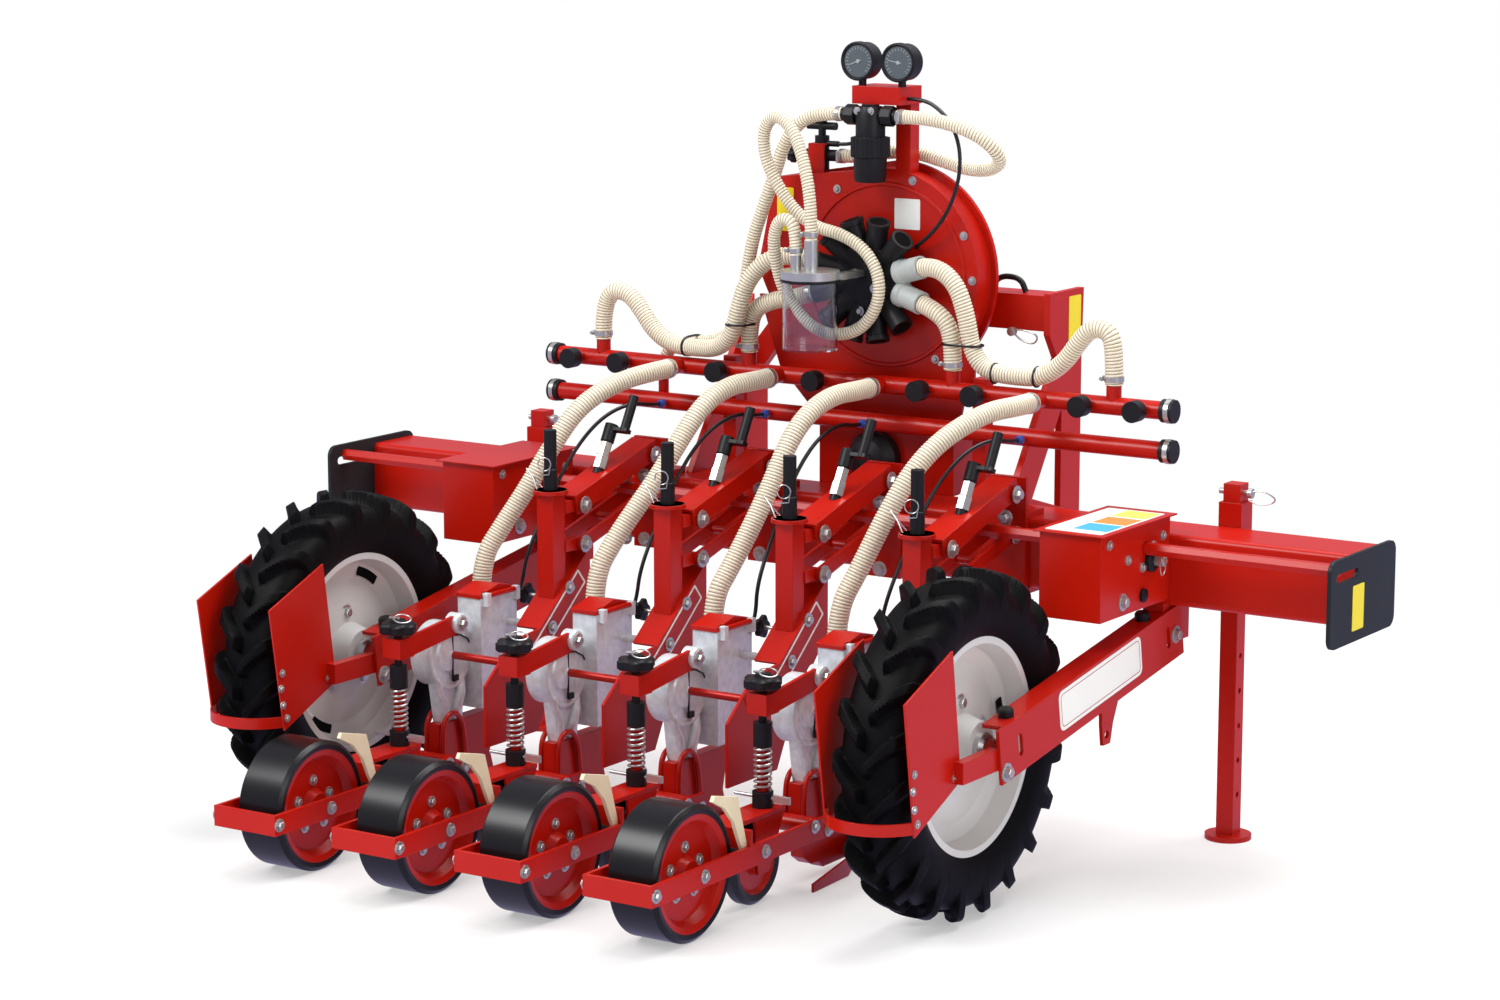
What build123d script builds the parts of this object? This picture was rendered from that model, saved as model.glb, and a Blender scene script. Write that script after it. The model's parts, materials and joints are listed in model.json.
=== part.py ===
from build123d import *
import os
from math import atan2, cos, degrees, hypot, radians, sin, tan

# A mounted four-row vacuum planter for vegetables. Millimetres, +Z up, +Y is the way it travels.
# The origin is on the floor under the middle of the machine's box.

# Overall places
AXLE_Y = -220.0           # ground-wheel axle line

# Toolbar: a square tube with an end plate at each end
BEAM_SIZE = 140.0
BEAM_WALL = 8.0
BEAM_CORNER = 12.0
BEAM_HALF = 1177.0
BEAM_REAR_Y = 380.0
BEAM_LOW_Z = 490.0
PLATE_THICK = 8.0
PLATE_DEPTH = 290.0
PLATE_LOW_Z = 476.0
PLATE_HIGH_Z = 642.0
PLATE_CORNER = 22.0
PLATE_SLOT = (96.0, 18.0)     # length and height of the slot in each end plate
PLATE_SLOT_UP = 48.0          # slot above the plate's middle
BEAM_FRONT_Y = BEAM_REAR_Y + BEAM_SIZE
BEAM_TOP_Z = BEAM_LOW_Z + BEAM_SIZE
BEAM_MID_Z = BEAM_LOW_Z + BEAM_SIZE / 2

# Hexagon drive shaft behind the toolbar
SHAFT_FLATS = 22.0
SHAFT_Y = 280.0
SHAFT_Z = 619.0
SHAFT_ROOM = 1.5

# Row units: links, post and body, all at the unit's own X
UNIT_COUNT = 4
UNIT_PITCH = 286.3
SEED_OFFSET = -130.0      # the seed line lies beside the unit's frame
LINK_WIDTH = 60.0
LINK_WALL = 6.0
LINK_DEPTH = 40.0
LINK_REACH = 18.0         # link metal beyond each pivot
LINK_NEAR_Y = 88.0
LINK_NEAR_Z = 615.0
LINK_FAR_Y = 338.0
LINK_FAR_Z = 683.0
LINK_DROP = 80.0          # lower pivots below the upper ones
LINK_BACK = 26.0          # upper link's back above its pivots
LOWER_BAR_WIDTH = 8.0
LOWER_BAR_HEIGHT = 28.0
PIVOT_RADIUS = 8.0
PIVOT_ROOM = 0.3
LUG_WIDTH = 46.0
LUG_RADIUS = 12.0
SIDE_ROOM = 1.0
CLAMP_WIDTH = 80.0
CLAMP_WALL = 12.0
CLAMP_GRIP = 62.0
CLAMP_TOP_Z = 712.0

POST_SIZE = 40.0
POST_REAR_Y = 0.0
POST_TOP_Z = 645.0
POST_CAP_RADIUS = 36.0
POST_CAP_THICK = 8.0

BODY_WALL = 6.0
BODY_WIDTH = 60.0
BODY_TOP = (112.0, 525.0)     # Y and Z of the two ends of the sloping flange
BODY_LOW = (-60.0, 384.0)
BODY_WEB = ((-150.0, 376.0), (-242.0, 300.0), (-242.0, 176.0), (-70.0, 176.0), (-8.0, 290.0))
BODY_FRONT_Z = 414.0

# Lift crank on the upper link and locking handle on the post
CRANK_SHARE = 0.42        # crank's place along the upper link
CRANK_LEAN = 29.0         # cranks lean forward, degrees
CRANK_STEM = (11.0, 76.0)     # radius and length, as for the next four
CRANK_SLEEVE = (14.0, 38.0)
CRANK_GRIP = (10.0, 80.0)
HANDLE_STEM = (9.0, 34.0)
HANDLE_GRIP = (13.0, 88.0)
CRANK_ARM = (56.0, 18.0, 8.0)     # length, width and thickness
CRANK_ARM_OFF = 17.0
CRANK_GRIP_OFF = 34.0
CRANK_GRIP_DROP = 14.0    # grip starts below the sleeve's top
CRANK_SINK = 14.0         # stem's foot before it is cut flush with the link

# Seed meter: hopper, disc housing and outlet, placed from the seed line
HOPPER_LEFT = -9.0
HOPPER_RIGHT = 49.0
HOPPER_REAR_Y = -110.0
HOPPER_FRONT_Y = 10.0
HOPPER_TOP_Z = 440.0
HOPPER_WAIST_Z = 335.0
HOPPER_FOOT_Z = 215.0
HOPPER_TOE = 46.0         # depth of the hopper's foot
HOPPER_WALL = 4.0
HOPPER_FLOOR = 16.0
DISC_LEFT = -36.0
DISC_RIGHT = 14.0
DISC_Y = -165.0
DISC_Z = 333.0
DISC_RADIUS = 66.0
OUTLET_FOOT_Z = 196.0
OUTLET_HEAD_Z = 303.0
OUTLET_HEAD = (-205.0, -115.0)    # limits of the outlet's head and foot along Y
OUTLET_FOOT = (-187.0, -125.0)
OUTLET_X = (-16.0, 10.0)
DUCT_X = (-60.0, -30.0)   # suction duct from the disc housing to the hose's stub
DUCT_Y = (-150.0, 32.0)
DUCT_Z = (345.0, 375.0)
STUB_X = -45.0
STUB_Y = 15.0
STUB_TOP_Z = 412.0
METER_HOSE_RADIUS = 16.0
PIPE_STUB_X = 20.0        # stub for the thin pipe on the hopper's front wall
PIPE_STUB_Z = 412.0
PIPE_STUB = (6.0, 14.0)   # radius and length
LID_HEIGHT = 22.0
LID_BRIM = 8.0
LID_EDGE = 3.0
LID_EAR = 12.0            # width of each hinge ear, its inset and its depth below the rim
LID_EAR_INSET = 6.0
LID_EAR_DROP = 16.0
LID_EAR_GAP = 1.0
LID_NOTCH = 5.0           # lid cut back beside the ears
LID_WEB = 6.0
LID_ROOM = 0.5
LID_PIN_RADIUS = 2.5
LID_BARREL_RADIUS = 5.5
LID_PIN_ROOM = 0.25
LID_PIN_OFF = 8.0         # lid's hinge pin beside the hopper's wall
LID_PIN_UP = 6.0          # and above its rim
METER_ROD_RADIUS = 8.0
METER_RODS = ((-20.0, 380.0), (-165.0, 333.0))

# Furrow opener: its side view under the meter's outlet
SHOE_HALF = 14.0
SHOE_FRONT_Y = -20.0
SHOE_REAR_Y = -205.0
SHOE_SIDE = ((-40.0, 110.0), (-24.0, 30.0), (-50.0, 12.0), (-235.0, 12.0), (-235.0, 60.0), (-205.0, 110.0))

# Press wheels and the yokes that carry them
PRESS_RADIUS = 126.0
PRESS_WIDTH = 106.0
PRESS_RIM_RADIUS = 109.0
PRESS_Y = -618.0
PRESS_AXLE_RADIUS = 10.0
PRESS_HUB_RADIUS = 24.0
PRESS_EDGE = 2.0          # rim's edge in from the wheel's side
PRESS_FACE = 6.0          # hub's face and the rim's fold in from the side
PRESS_DISH = (22.0, 34.0)     # both faces of the disc in from the right side
PRESS_FLARE = 8.0         # disc meets the hub this far out
PRESS_FOLD = (12.0, 22.0)     # rim's fold below the rim, outer and inner
PRESS_CROWN = (7.0, 8.0)  # tyre's shoulder, width and depth
AXLE_ROOM = 0.1
YOKE_HALF = 67.0          # half the clear width between the side bars
YOKE_WALL = 8.0
YOKE_HEIGHT = 40.0
YOKE_FRONT_Y = -190.0
YOKE_TUBE_RADIUS = 17.0
YOKE_TUBE_Y = -225.0
YOKE_CROSS_Y = -470.0
YOKE_TAIL = 38.0          # yoke behind the press wheel
SADDLE_HALF = 30.0        # saddle of the spring column, half its width and its reach past the column

# Small wheel that firms the seed in the furrow
FIRM_RADIUS = 80.0
FIRM_WIDTH = 34.0
FIRM_RIM_RADIUS = 60.0
FIRM_HUB_OUT = 4.0        # hub stands out of the band
FIRM_HUB_WALL = (12.0, 16.0)  # hub about its bore, at its face and at the disc
FIRM_DISH = 11.0          # disc's face in from the side
FIRM_FOLD = (3.0, 8.0)    # rim's fold, width and depth
FIRM_CROWN = 8.0
FIRM_Y = -355.0
FIRM_AXLE_RADIUS = 8.0
FIRM_CHEEK = 24.0         # inside of the fork's cheek from the seed line
FIRM_CHEEK_WALL = 5.0
FIRM_CHEEK_FOOT = 18.0    # cheek about the axle, half its size

# Spring column that loads the press wheel
COLUMN_Y = -314.0
COLUMN_FOOT_Z = 176.0
COLUMN_TOP_Z = 402.0
COLUMN_ROD_RADIUS = 8.0
SPRING_RADIUS = 18.0
SPRING_LOW_Z = 206.0
SPRING_HIGH_Z = 292.0
SPRING_ROOM = 1.0
COLLAR_HEIGHT = 46.0
SEAT_RADIUS = 20.0
KNOB = (16.0, 22.0)       # radius and height
KNOB_BAR = (9.0, 34.0)    # radius and half length
KNOB_BAR_UP = 11.5
BAR_DROP = 8.0            # meter bar's top under the column's top
BAR_HEIGHT = 40.0
BAR_HALF = 22.0
BAR_ARM = 8.0             # thickness of the bar's arm

# Ground wheels, both on the same side of their arms
WHEEL_X = (-785.0, 649.0)
TYRE_RADIUS = 325.0       # to the tips of the lugs
TYRE_LUG = 24.0
TYRE_WIDTH = 138.0
TYRE_BEAD_RADIUS = 194.0
TYRE_SEAT_ROOM = 1.0
TYRE_TOE = (8.0, 12.0)    # side wall's foot: in from the side, and above the rim
TYRE_WIDEST = 52.0        # widest place above the rim
TYRE_ROLL = (14.0, 10.0)  # shoulder under the lugs, width and depth
TYRE_FLAT = 40.0          # tread's flat part in from the side
RIM_RADIUS = 206.0
RIM_WIDTH = 104.0
RIM_WALL = 5.0
RIM_DROP = 8.0            # disc joins the rim this far below its bed
RIM_JOIN = (12.0, -4.0)   # disc's two faces where it joins the rim
RIM_DISC_RIGHT = ((4.0, 150.0), (16.0, 100.0))    # disc's right face, place across and radius
RIM_DISC_LEFT = ((8.0, 100.0), (-4.0, 150.0))
LUG_COUNT = 20
LUG_THICK = 26.0
LUG_LENGTH = 72.0
LUG_ROOT = 24.0           # lug metal inside the carcass
LUG_SWEEP = 48.0          # lugs' slant, degrees
LUG_INSET = 32.0          # lug's middle from the tyre's side
LUG_SHOULDER = (8.0, 22.0)    # lugs cut back at the shoulder, width and depth
HUB_RADIUS = 58.0
HUB_RIGHT = (22.0, 60.0)  # hub's root and face across the wheel
HUB_LEFT = (14.0, -24.0)
HUB_TAPER = (10.0, 12.0)  # hub's faces are smaller by these
STUB_RADIUS = 20.0
STUB_REACH = 18.0         # stub axle past the wheel's middle
ARM_OFFSET = 118.0        # arm's web from the wheel's middle
ARM_WALL = 7.0
ARM_HEIGHT = 104.0
ARM_FLANGE = 48.0
ARM_PIVOT_Y = 420.0
ARM_PIVOT_Z = 426.0
ARM_REAR_REACH = 34.0
ARM_FRONT_REACH = 40.0
ARM_FLANGE_START = 22.0   # flange begins this far from the arm's rear end
ARM_SLOT = (44.0, 16.0)   # slots across the arm's web, height and width
ARM_SLOT_ALONG = (40.0, 628.0)
ARM_LUG = ((128.0, 362.0), (216.0, 378.0), (176.0, 300.0), (166.0, 262.0), (138.0, 262.0), (132.0, 300.0))
ARM_LUG_HOLE = (152.0, 281.0)
ARM_LUG_BORE = 8.0
ARM_LUG_END = 16.0
ARM_FOOT_DROP = 20.0      # bracket under the toolbar, below the pivot
ARM_FOOT_INSET = (10.0, 20.0)
SCRAPER_OFFSET = 90.0     # scraper plates from the wheel's middle
SCRAPER_WALL = 4.0
SCRAPER_PLATE = ((-544.0, 472.0), (-381.0, 538.0), (-348.0, 296.0), (-507.0, 226.0))
SCRAPER_TAB_Y = (-376.0, -242.0)
SCRAPER_TAB_Z = (296.0, 336.0)
STRAP_HEIGHT = 22.0
STRAP_WALL = 5.0
STRAP_LOW_Z = 232.0
STRAP_ROOT_Y = AXLE_Y - 280.0     # strap's ends and its rearmost point
STRAP_BACK_Y = AXLE_Y - 348.0

# Drive boxes on the toolbar
BOX_LEFT = (-766.0, 649.0)
BOX_WIDTH = 130.0
BOX_REAR_Y = 100.0
BOX_LOW_Z = 504.0
BOX_HIGH_Z = 668.0
BOX_WALL = 3.0
LID_SHEET = 3.0
LID_LAP = 10.0

# Parking stands
STAND_X = BEAM_HALF - 340.0
STAND_SIZE = 36.0
STAND_ROOM = 0.3
STAND_TOP_Z = 712.0
STAND_FOOT_RADIUS = 46.0
STAND_FOOT_THICK = 10.0
STAND_HOLE_RADIUS = 6.0
STAND_HOLE_PITCH = 70.0
STAND_HOLE_LOW_Z = 90.0
SLEEVE_WALL = 6.0
SLEEVE_LOW_Z = 500.0
SLEEVE_HIGH_Z = 676.0

# Three-point hitch
HITCH_X = 375.0
HITCH_WALL = 14.0
HITCH_TOP_Z = 1044.0
HITCH_POST_Y = (656.0, 738.0)
HITCH_LEAN = 6.0          # post's head leans forward
HITCH_HEAD = 136.0        # depth of the head that meets the top beam
HITCH_HEAD_Z = (880.0, 960.0)
HITCH_NECK_Z = 900.0
HITCH_LOW_Z = 420.0
HITCH_LEFT_TOP_Z = 850.0  # left post ends low, a stay runs on to the top beam
STAY_Y = (664.0, 688.0)
STAY_FOOT = 80.0          # stay's depth on the post
TOP_BEAM_LEFT = -236.0
STRUT_FOOT = (76.0, 14.0)     # strut's foot behind and before the toolbar's front face
STRUT_HEAD_Z = (850.0, 985.0)
STRUT_HEAD_IN = 30.0
BRACE_REACH = 10.0
BRACE_DROP = (12.0, 30.0)
BRACE_RISE = (20.0, 30.0)
HITCH_PIN_RADIUS = 14.0
HITCH_PIN_LENGTH = 92.0
HITCH_PIN_Y = 712.0
HITCH_PIN_Z = 470.0
TOP_BEAM_SIZE = 80.0
TOP_BEAM_HEIGHT = 72.0
TOP_BEAM_Y = 612.0
TOP_BEAM_Z = 966.0
TOP_PIN_BORE = 12.75
TOP_EAR_GAP = 54.0
TOP_EAR_WALL = 14.0
TOP_EAR_REACH = 90.0      # ears before the top beam
TOP_EAR_TIP = (16.0, 60.0)
TOP_PIN_BACK = 22.0       # bore behind the ears' tips
TOP_PIN_UP = 38.0
TOP_PAD = 8.0

# Fan on the rear of the hitch
FAN_X = 52.0
FAN_Z = 1070.0
FAN_RADIUS = 216.0        # right half of the scroll
FAN_TAIL = 308.0          # scroll's reach on the outlet side
FAN_REAR_Y = 520.0
FAN_DEPTH = 68.0
FAN_WALL = 4.0
FAN_LIP = 13.0
FAN_LIP_THICK = 10.0
FAN_MOUTH = (-216.0, 1256.0)  # upper corner of the slanted outlet, X and Z
FAN_SWELL = (0.72, 0.62)      # middle of the lower left arc, shares of the tail and of the radius
FAN_MOUNT_HALF = 120.0
FAN_APRON_WALL = 8.0
FAN_APRON = ((-254.0, 1010.0), (-203.0, 862.0), (-99.0, 755.0), (-96.0, 752.0), (224.0, 752.0),
             (241.0, 838.0), (262.0, 861.0), (262.0, 1010.0))   # plate from the fan down to its drive
HUB_X = 38.0
HUB_Z = 1062.0
HUB_CUP_RADIUS = 74.0
HUB_CUP_DEPTH = 62.0
NOZZLE_COUNT = 12
NOZZLE_START = 15.0
NOZZLE_RADIUS = 22.0
NOZZLE_REACH = 128.0
NOZZLE_TILT = 12.0

# Fan drive: a gear housing low in the hitch with a guard and the input shaft
DRIVE_X = (-96.0, 224.0)
DRIVE_Y = (506.0, 604.0)
DRIVE_Z = (BEAM_TOP_Z, 752.0)
PTO_X = 44.0
PTO_RADIUS = 17.45
PTO_Z = 694.0
PTO_LENGTH = 84.0
PTO_GUARD_RADIUS = 60.0
PTO_GUARD_LENGTH = 110.0
PTO_GUARD_WALL = 4.0
DOME_RADIUS = 56.0
DOME_DEPTH = 46.0
DOME_SHAPE = ((1.0, 0.0), (1.0, 0.5), (0.7, 0.85), (0.3, 1.0))    # shares of radius and depth

# Air manifolds
MANIFOLD_RADIUS = 18.0
MANIFOLD_HALF = 740.0
MANIFOLD_Y = 458.0
MANIFOLD_Z = (776.0, 855.0)
PORT_RADIUS = 15.0
PORT_LENGTH = 30.0        # rear ports, beyond the tube
TOP_PORT_LENGTH = 24.0
HOSE_PORT_SHARES = (-0.545, -0.209, 0.122, 0.619)     # ports' places as shares of the half length
CAPPED_PORT_SHARES = (-0.9, -0.735, -0.399, -0.078, 0.258, 0.427, 0.754, 0.916)
TOP_PORT_SHARES = (-0.823, -0.322, 0.336, 0.827)
PIPE_PORT_SHARES = (-0.589, -0.238, 0.08, 0.572)
PIPE_PORT = (6.0, 14.0)       # radius and length of the thin pipes' ports
DRAIN_SHARE = -0.646          # stub of the filter's hose on the lower manifold
DRAIN_Y = 492.0
DRAIN_RADIUS = 11.0
DRAIN_BOSS_Z = (766.0, 786.0)
DRAIN_TOP_Z = 822.0
CAP_RADIUS = 21.0
CAP_LENGTH = 26.0
CAP_FLOOR = 6.0
END_CAP_RADIUS = 23.0
STAY_X = 300.0
STAY_SIZE = 30.0
STAY_RISE = 26.0          # stays above the upper manifold's axis

# Gauge mast with filter, jar and relief valve
MAST_X = 92.0
MAST_SIZE = 34.0
MAST_TOP_Z = 1418.0
MAST_BOX = (1.0, 114.0)
MAST_BOX_HEIGHT = 36.0
GAUGE_RADIUS = 37.0
GAUGE_DEPTH = 34.0
GAUGE_Z = 1503.0
GAUGE_X = (13.0, 107.0)
GAUGE_STEM_RADIUS = 8.0
FILTER_X = 45.0
FILTER_Y = 470.0
FILTER_Z = 1396.0
FILTER_HALF = 64.0
FILTER_PORT_RADIUS = 14.0
BOWL_RADIUS = 25.0
BOWL_LOW_Z = 1262.0
BOWL_DROP = 40.0          # bowl's top under the ports
TEE_DROP = 60.0
TEE_RADIUS = 18.0
GAUGE_SETBACK = 4.0
VALVE_X = -125.0
VALVE_Y = 558.0
VALVE_TOP_Z = 1362.0
VALVE_RADIUS = 15.0
VALVE_HEAD = 20.0         # stem of the cross handle
VALVE_HANDLE = (8.0, 34.0)    # radius and half length
VALVE_SIDE = (12.0, 62.0, 40.0)   # side pipe: radius, reach to the left and to the right
VALVE_SIDE_DROP = 60.0
VALVE_PIPE = (6.0, 25.0, 36.0)    # thin pipe's stub: radius, reach and drop
JAR_X = -24.0
JAR_Y = 354.0
JAR_RADIUS = 56.0
JAR_LOW_Z = 930.0
JAR_HIGH_Z = 1072.0
JAR_WALL = 3.5
JAR_LID_HEIGHT = 18.0
JAR_LID_RADIUS = 60.0
JAR_FITTINGS = ((-22.0, 14.0, 1150.0), (-58.0, 11.0, 1118.0))     # X, radius and top of each
JAR_ARM_X = (14.0, 40.0)
JAR_ARM_START = 20.0
JAR_ARM_HEIGHT = 12.0

# Hoses: diameters, then each route's points; an arc takes this share of the shorter run beside it
ARC_SHARE = 0.45
SEED_HOSE = 40.0
FAN_HOSE = 37.0
SERVICE_HOSE = 28.0
JAR_HOSE = 26.0
AIR_PIPE = 8.0
SEED_HOSE_LEAD = 60.0     # straight run behind the port
SEED_HOSE_BOW = 180.0     # pull of the port's direction on the plan curve
SEED_HOSE_SHARES = (0.34, 0.50, 0.62, 0.73, 0.83, 0.92)   # places along the plan curve
SEED_HOSE_HEIGHTS = (     # a hose's heights, one at the lead and one at each share
    (846.0, 823.0, 786.0, 712.0, 630.0, 560.0, 490.0),
    (853.0, 819.0, 754.0, 680.0, 620.0, 560.0, 490.0),
    (854.0, 828.0, 776.0, 682.0, 603.0, 535.0, 476.0),
    (852.0, 828.0, 797.0, 745.0, 662.0, 566.0, 485.0),
)
NOZZLE_LEAD = 46.0        # straight run beyond a nozzle
FAN_HOSE_ROUTES = (       # nozzle's number, top port's number, corner's height over the port, points between
    (2, 3, 952, ((258, 449, 1076), (282, 452, 1010), (292, 456, 942), (322, 458, 901), (385, 459, 895),
                 (450, 460, 897), (500, 460, 930), (532, 459, 974), (562, 458, 1006), (603, 458, 1001))),
    (3, 2, 945, ((238, 454, 992),)),
    (9, 0, 958, ((-180, 438, 1096), (-222, 424, 1050), (-240, 418, 986), (-258, 423, 932), (-303, 434, 900),
                 (-365, 446, 896), (-425, 451, 897), (-475, 454, 922), (-508, 456, 964), (-541, 457, 998),
                 (-586, 458, 1003))),
    (8, 1, 945, ((-178, 453, 1008), (-224, 455, 988))),
)
FILTER_HOSE_LEFT = (
    (-72, 470, 1396), (-122, 468, 1378), (-160, 468, 1332), (-182, 469, 1270), (-208, 470, 1205),
    (-236, 472, 1140), (-254, 475, 1070), (-268, 480, 1000), (-290, 488, 940), (-335, 492, 910),
    (-395, 493, 900), (-450, 493, 893))
FILTER_HOSE_DROP = 40.0   # last corner above the drain's stub
FILTER_HOSE_RIGHT = (
    (165, 470, 1396), (225, 471, 1388), (280, 477, 1371), (318, 492, 1342), (322, 518, 1312),
    (280, 543, 1291), (215, 562, 1289), (145, 575, 1304), (78, 580, 1317), (15, 570, 1313), (-35, 558, 1302))
JAR_HOSE_RISE = (56.0, 32.0)      # first and last corners above the jar's fittings
JAR_HOSE_ROUTE = (
    (-32, 358, 1264), (-52, 366, 1322), (-84, 376, 1376), (-132, 388, 1398), (-166, 398, 1362),
    (-166, 406, 1304), (-140, 412, 1250), (-104, 419, 1200), (-56, 425, 1168), (4, 429, 1158),
    (60, 432, 1128), (92, 433, 1076), (88, 432, 1016), (52, 429, 968), (-4, 426, 950),
    (-60, 424, 962), (-102, 412, 1004), (-122, 396, 1056), (-124, 379, 1108),
    (-120, 366, 1152), (-100, 358, 1190), (-66, 354, 1188))
GAUGE_PIPE = (
    (114, 500, 1430), (152, 500, 1430), (190, 495, 1413), (222, 492, 1384), (241, 490, 1340),
    (243, 489, 1290), (230, 489, 1240), (205, 491, 1195), (172, 495, 1160), (142, 500, 1138),
    (128, 507, 1130), (128, 520, 1130))
VALVE_PIPE_ROUTE = (
    (20, 530, 1418), (20, 530, 1388), (4, 534, 1362), (-24, 543, 1342), (-54, 558, 1326), (-85, 558, 1326))
METER_PIPE_LEAD = 34.0
METER_PIPE_SHARES = (     # share of the run, and height
    (0.20, 786.0), (0.38, 768.0), (0.54, 720.0), (0.68, 648.0), (0.80, 568.0), (0.89, 498.0))
METER_PIPE_DROP = (44.0, 440.0)       # last corner: distance before the hopper's stub, and height

unit_places = [(number - (UNIT_COUNT - 1) / 2) * UNIT_PITCH for number in range(UNIT_COUNT)]
seed_lines = [place + SEED_OFFSET for place in unit_places]


def block(x, y, z):
    """A box from three pairs of limits."""
    size = (x[1] - x[0], y[1] - y[0], z[1] - z[0])
    return Pos(x[0], y[0], z[0]) * Box(*size, align=(Align.MIN, Align.MIN, Align.MIN))


def rod_x(radius, x, y, z):
    """A round bar along X between two limits."""
    middle = Pos((x[0] + x[1]) / 2, y, z)
    return middle * Rot(0, 90, 0) * Cylinder(radius, x[1] - x[0])


def rod_y(radius, x, y, z):
    """A round bar along Y between two limits."""
    middle = Pos(x, (y[0] + y[1]) / 2, z)
    return middle * Rot(90, 0, 0) * Cylinder(radius, y[1] - y[0])


def rod_z(radius, x, y, z):
    """A round bar along Z between two limits."""
    return Pos(x, y, (z[0] + z[1]) / 2) * Cylinder(radius, z[1] - z[0])


def side_plate(points, x):
    """A plate of a Y and Z outline between two limits of X."""
    outline = make_face(Polyline(*points, close=True))
    return extrude(Plane.YZ.offset(x[0]) * outline, x[1] - x[0])


def cross_plate(points, y):
    """A plate of an X and Z outline between two limits of Y."""
    plane = Plane(origin=(0, y[1], 0), x_dir=(1, 0, 0), z_dir=(0, -1, 0))
    return extrude(plane * make_face(Polyline(*points, close=True)), y[1] - y[0])


def round_bar(start, end, height, x):
    """A flat bar with round ends about two Y and Z points, between two limits of X."""
    length = hypot(end[0] - start[0], end[1] - start[1])
    slope = degrees(atan2(end[1] - start[1], end[0] - start[0]))
    middle = Pos((start[0] + end[0]) / 2, (start[1] + end[1]) / 2)
    outline = middle * Rot(0, 0, slope) * SlotCenterToCenter(length, height)
    return extrude(Plane.YZ.offset(x[0]) * outline, x[1] - x[0])


def ring_x(profile, x, y, z):
    """A ring about an X axle, from its width and radius outline."""
    outline = make_face(Polyline(*profile, close=True))
    turned = revolve(Plane.XZ * outline, Axis.X)
    return Pos(x, y, z) * turned


def hose(points, diameter):
    """A hose along straight runs, joined by arcs as large as the runs allow."""
    places = [Vector(*point) for point in points]
    runs = [after - before for before, after in zip(places, places[1:])]
    radii = []
    for before, after in zip(runs, runs[1:]):
        half_turn = radians(before.get_angle(after) / 2)
        radii.append(ARC_SHARE * min(before.length, after.length) / tan(half_turn))
    path = FilletPolyline(*places, radius=radii)
    section = Plane(origin=places[0], z_dir=runs[0]) * Circle(diameter / 2)
    tube = sweep(section, path=path)
    share = tube.volume / (section.area * path.length)
    found = (diameter, path.length, min(radii), share)
    print("hose of %.0f mm: length %.0f, least radius %.0f, volume share %.4f" % found)
    return tube


nodes = {}


def add(name, shapes):
    """Keeps the solids of one node."""
    nodes[name] = Compound(children=[solid for shape in shapes for solid in shape.solids()])


# Toolbar and its end plates
def toolbar():
    outer = Plane.YZ * RectangleRounded(BEAM_SIZE, BEAM_SIZE, BEAM_CORNER)
    bore = BEAM_SIZE - 2 * BEAM_WALL
    inner = Plane.YZ * RectangleRounded(bore, bore, BEAM_CORNER - BEAM_WALL / 2)
    tube = extrude(outer - inner, 2 * BEAM_HALF)
    return Pos(-BEAM_HALF, BEAM_REAR_Y + BEAM_SIZE / 2, BEAM_MID_Z) * tube


def end_plate(inner_x, outer_x):
    height = PLATE_HIGH_Z - PLATE_LOW_Z
    outline = RectangleRounded(PLATE_DEPTH, height, PLATE_CORNER)
    outline -= Pos(-PLATE_DEPTH / 4, PLATE_SLOT_UP) * SlotOverall(*PLATE_SLOT)
    place = Pos(0, BEAM_FRONT_Y - PLATE_DEPTH / 2, (PLATE_LOW_Z + PLATE_HIGH_Z) / 2)
    low, high = min(inner_x, outer_x), max(inner_x, outer_x)
    return place * extrude(Plane.YZ.offset(low) * outline, high - low)


add("toolbar", [toolbar()])
add("toolbar_end_plates", [end_plate(side * BEAM_HALF, side * (BEAM_HALF + PLATE_THICK)) for side in (-1, 1)])


# Drive shaft: a hexagon bar from end plate to end plate
def hexagon_bar(flats, half_length):
    outline = Plane.YZ.offset(-half_length) * RegularPolygon(flats / 2, 6, major_radius=False)
    return Pos(0, SHAFT_Y, SHAFT_Z) * extrude(outline, 2 * half_length)


shaft_passage = hexagon_bar(SHAFT_FLATS + 2 * SHAFT_ROOM, BEAM_HALF)
add("drive_shaft", [hexagon_bar(SHAFT_FLATS, BEAM_HALF)])


# Row units: clamp on the toolbar, parallel links, post and body
def pivot_lug(place, pivot, root_y):
    """A round lug about a pivot, run back to what carries it, with its pivot pin."""
    x = (place - LUG_WIDTH / 2, place + LUG_WIDTH / 2)
    low_y, high_y = min(pivot[0], root_y), max(pivot[0], root_y)
    lug = block(x, (low_y, high_y), (pivot[1] - LUG_RADIUS, pivot[1] + LUG_RADIUS))
    nose = rod_x(LUG_RADIUS, x, *pivot)
    reach = LINK_WIDTH / 2 + LOWER_BAR_WIDTH + 2 * SIDE_ROOM
    return lug + nose + rod_x(PIVOT_RADIUS, (place - reach, place + reach), *pivot)


upper_near = (LINK_NEAR_Y, LINK_NEAR_Z)
upper_far = (LINK_FAR_Y, LINK_FAR_Z)
lower_near = (LINK_NEAR_Y, LINK_NEAR_Z - LINK_DROP)
lower_far = (LINK_FAR_Y, LINK_FAR_Z - LINK_DROP)
link_length = hypot(LINK_FAR_Y - LINK_NEAR_Y, LINK_FAR_Z - LINK_NEAR_Z)
link_slope = degrees(atan2(LINK_FAR_Z - LINK_NEAR_Z, LINK_FAR_Y - LINK_NEAR_Y))


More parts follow.
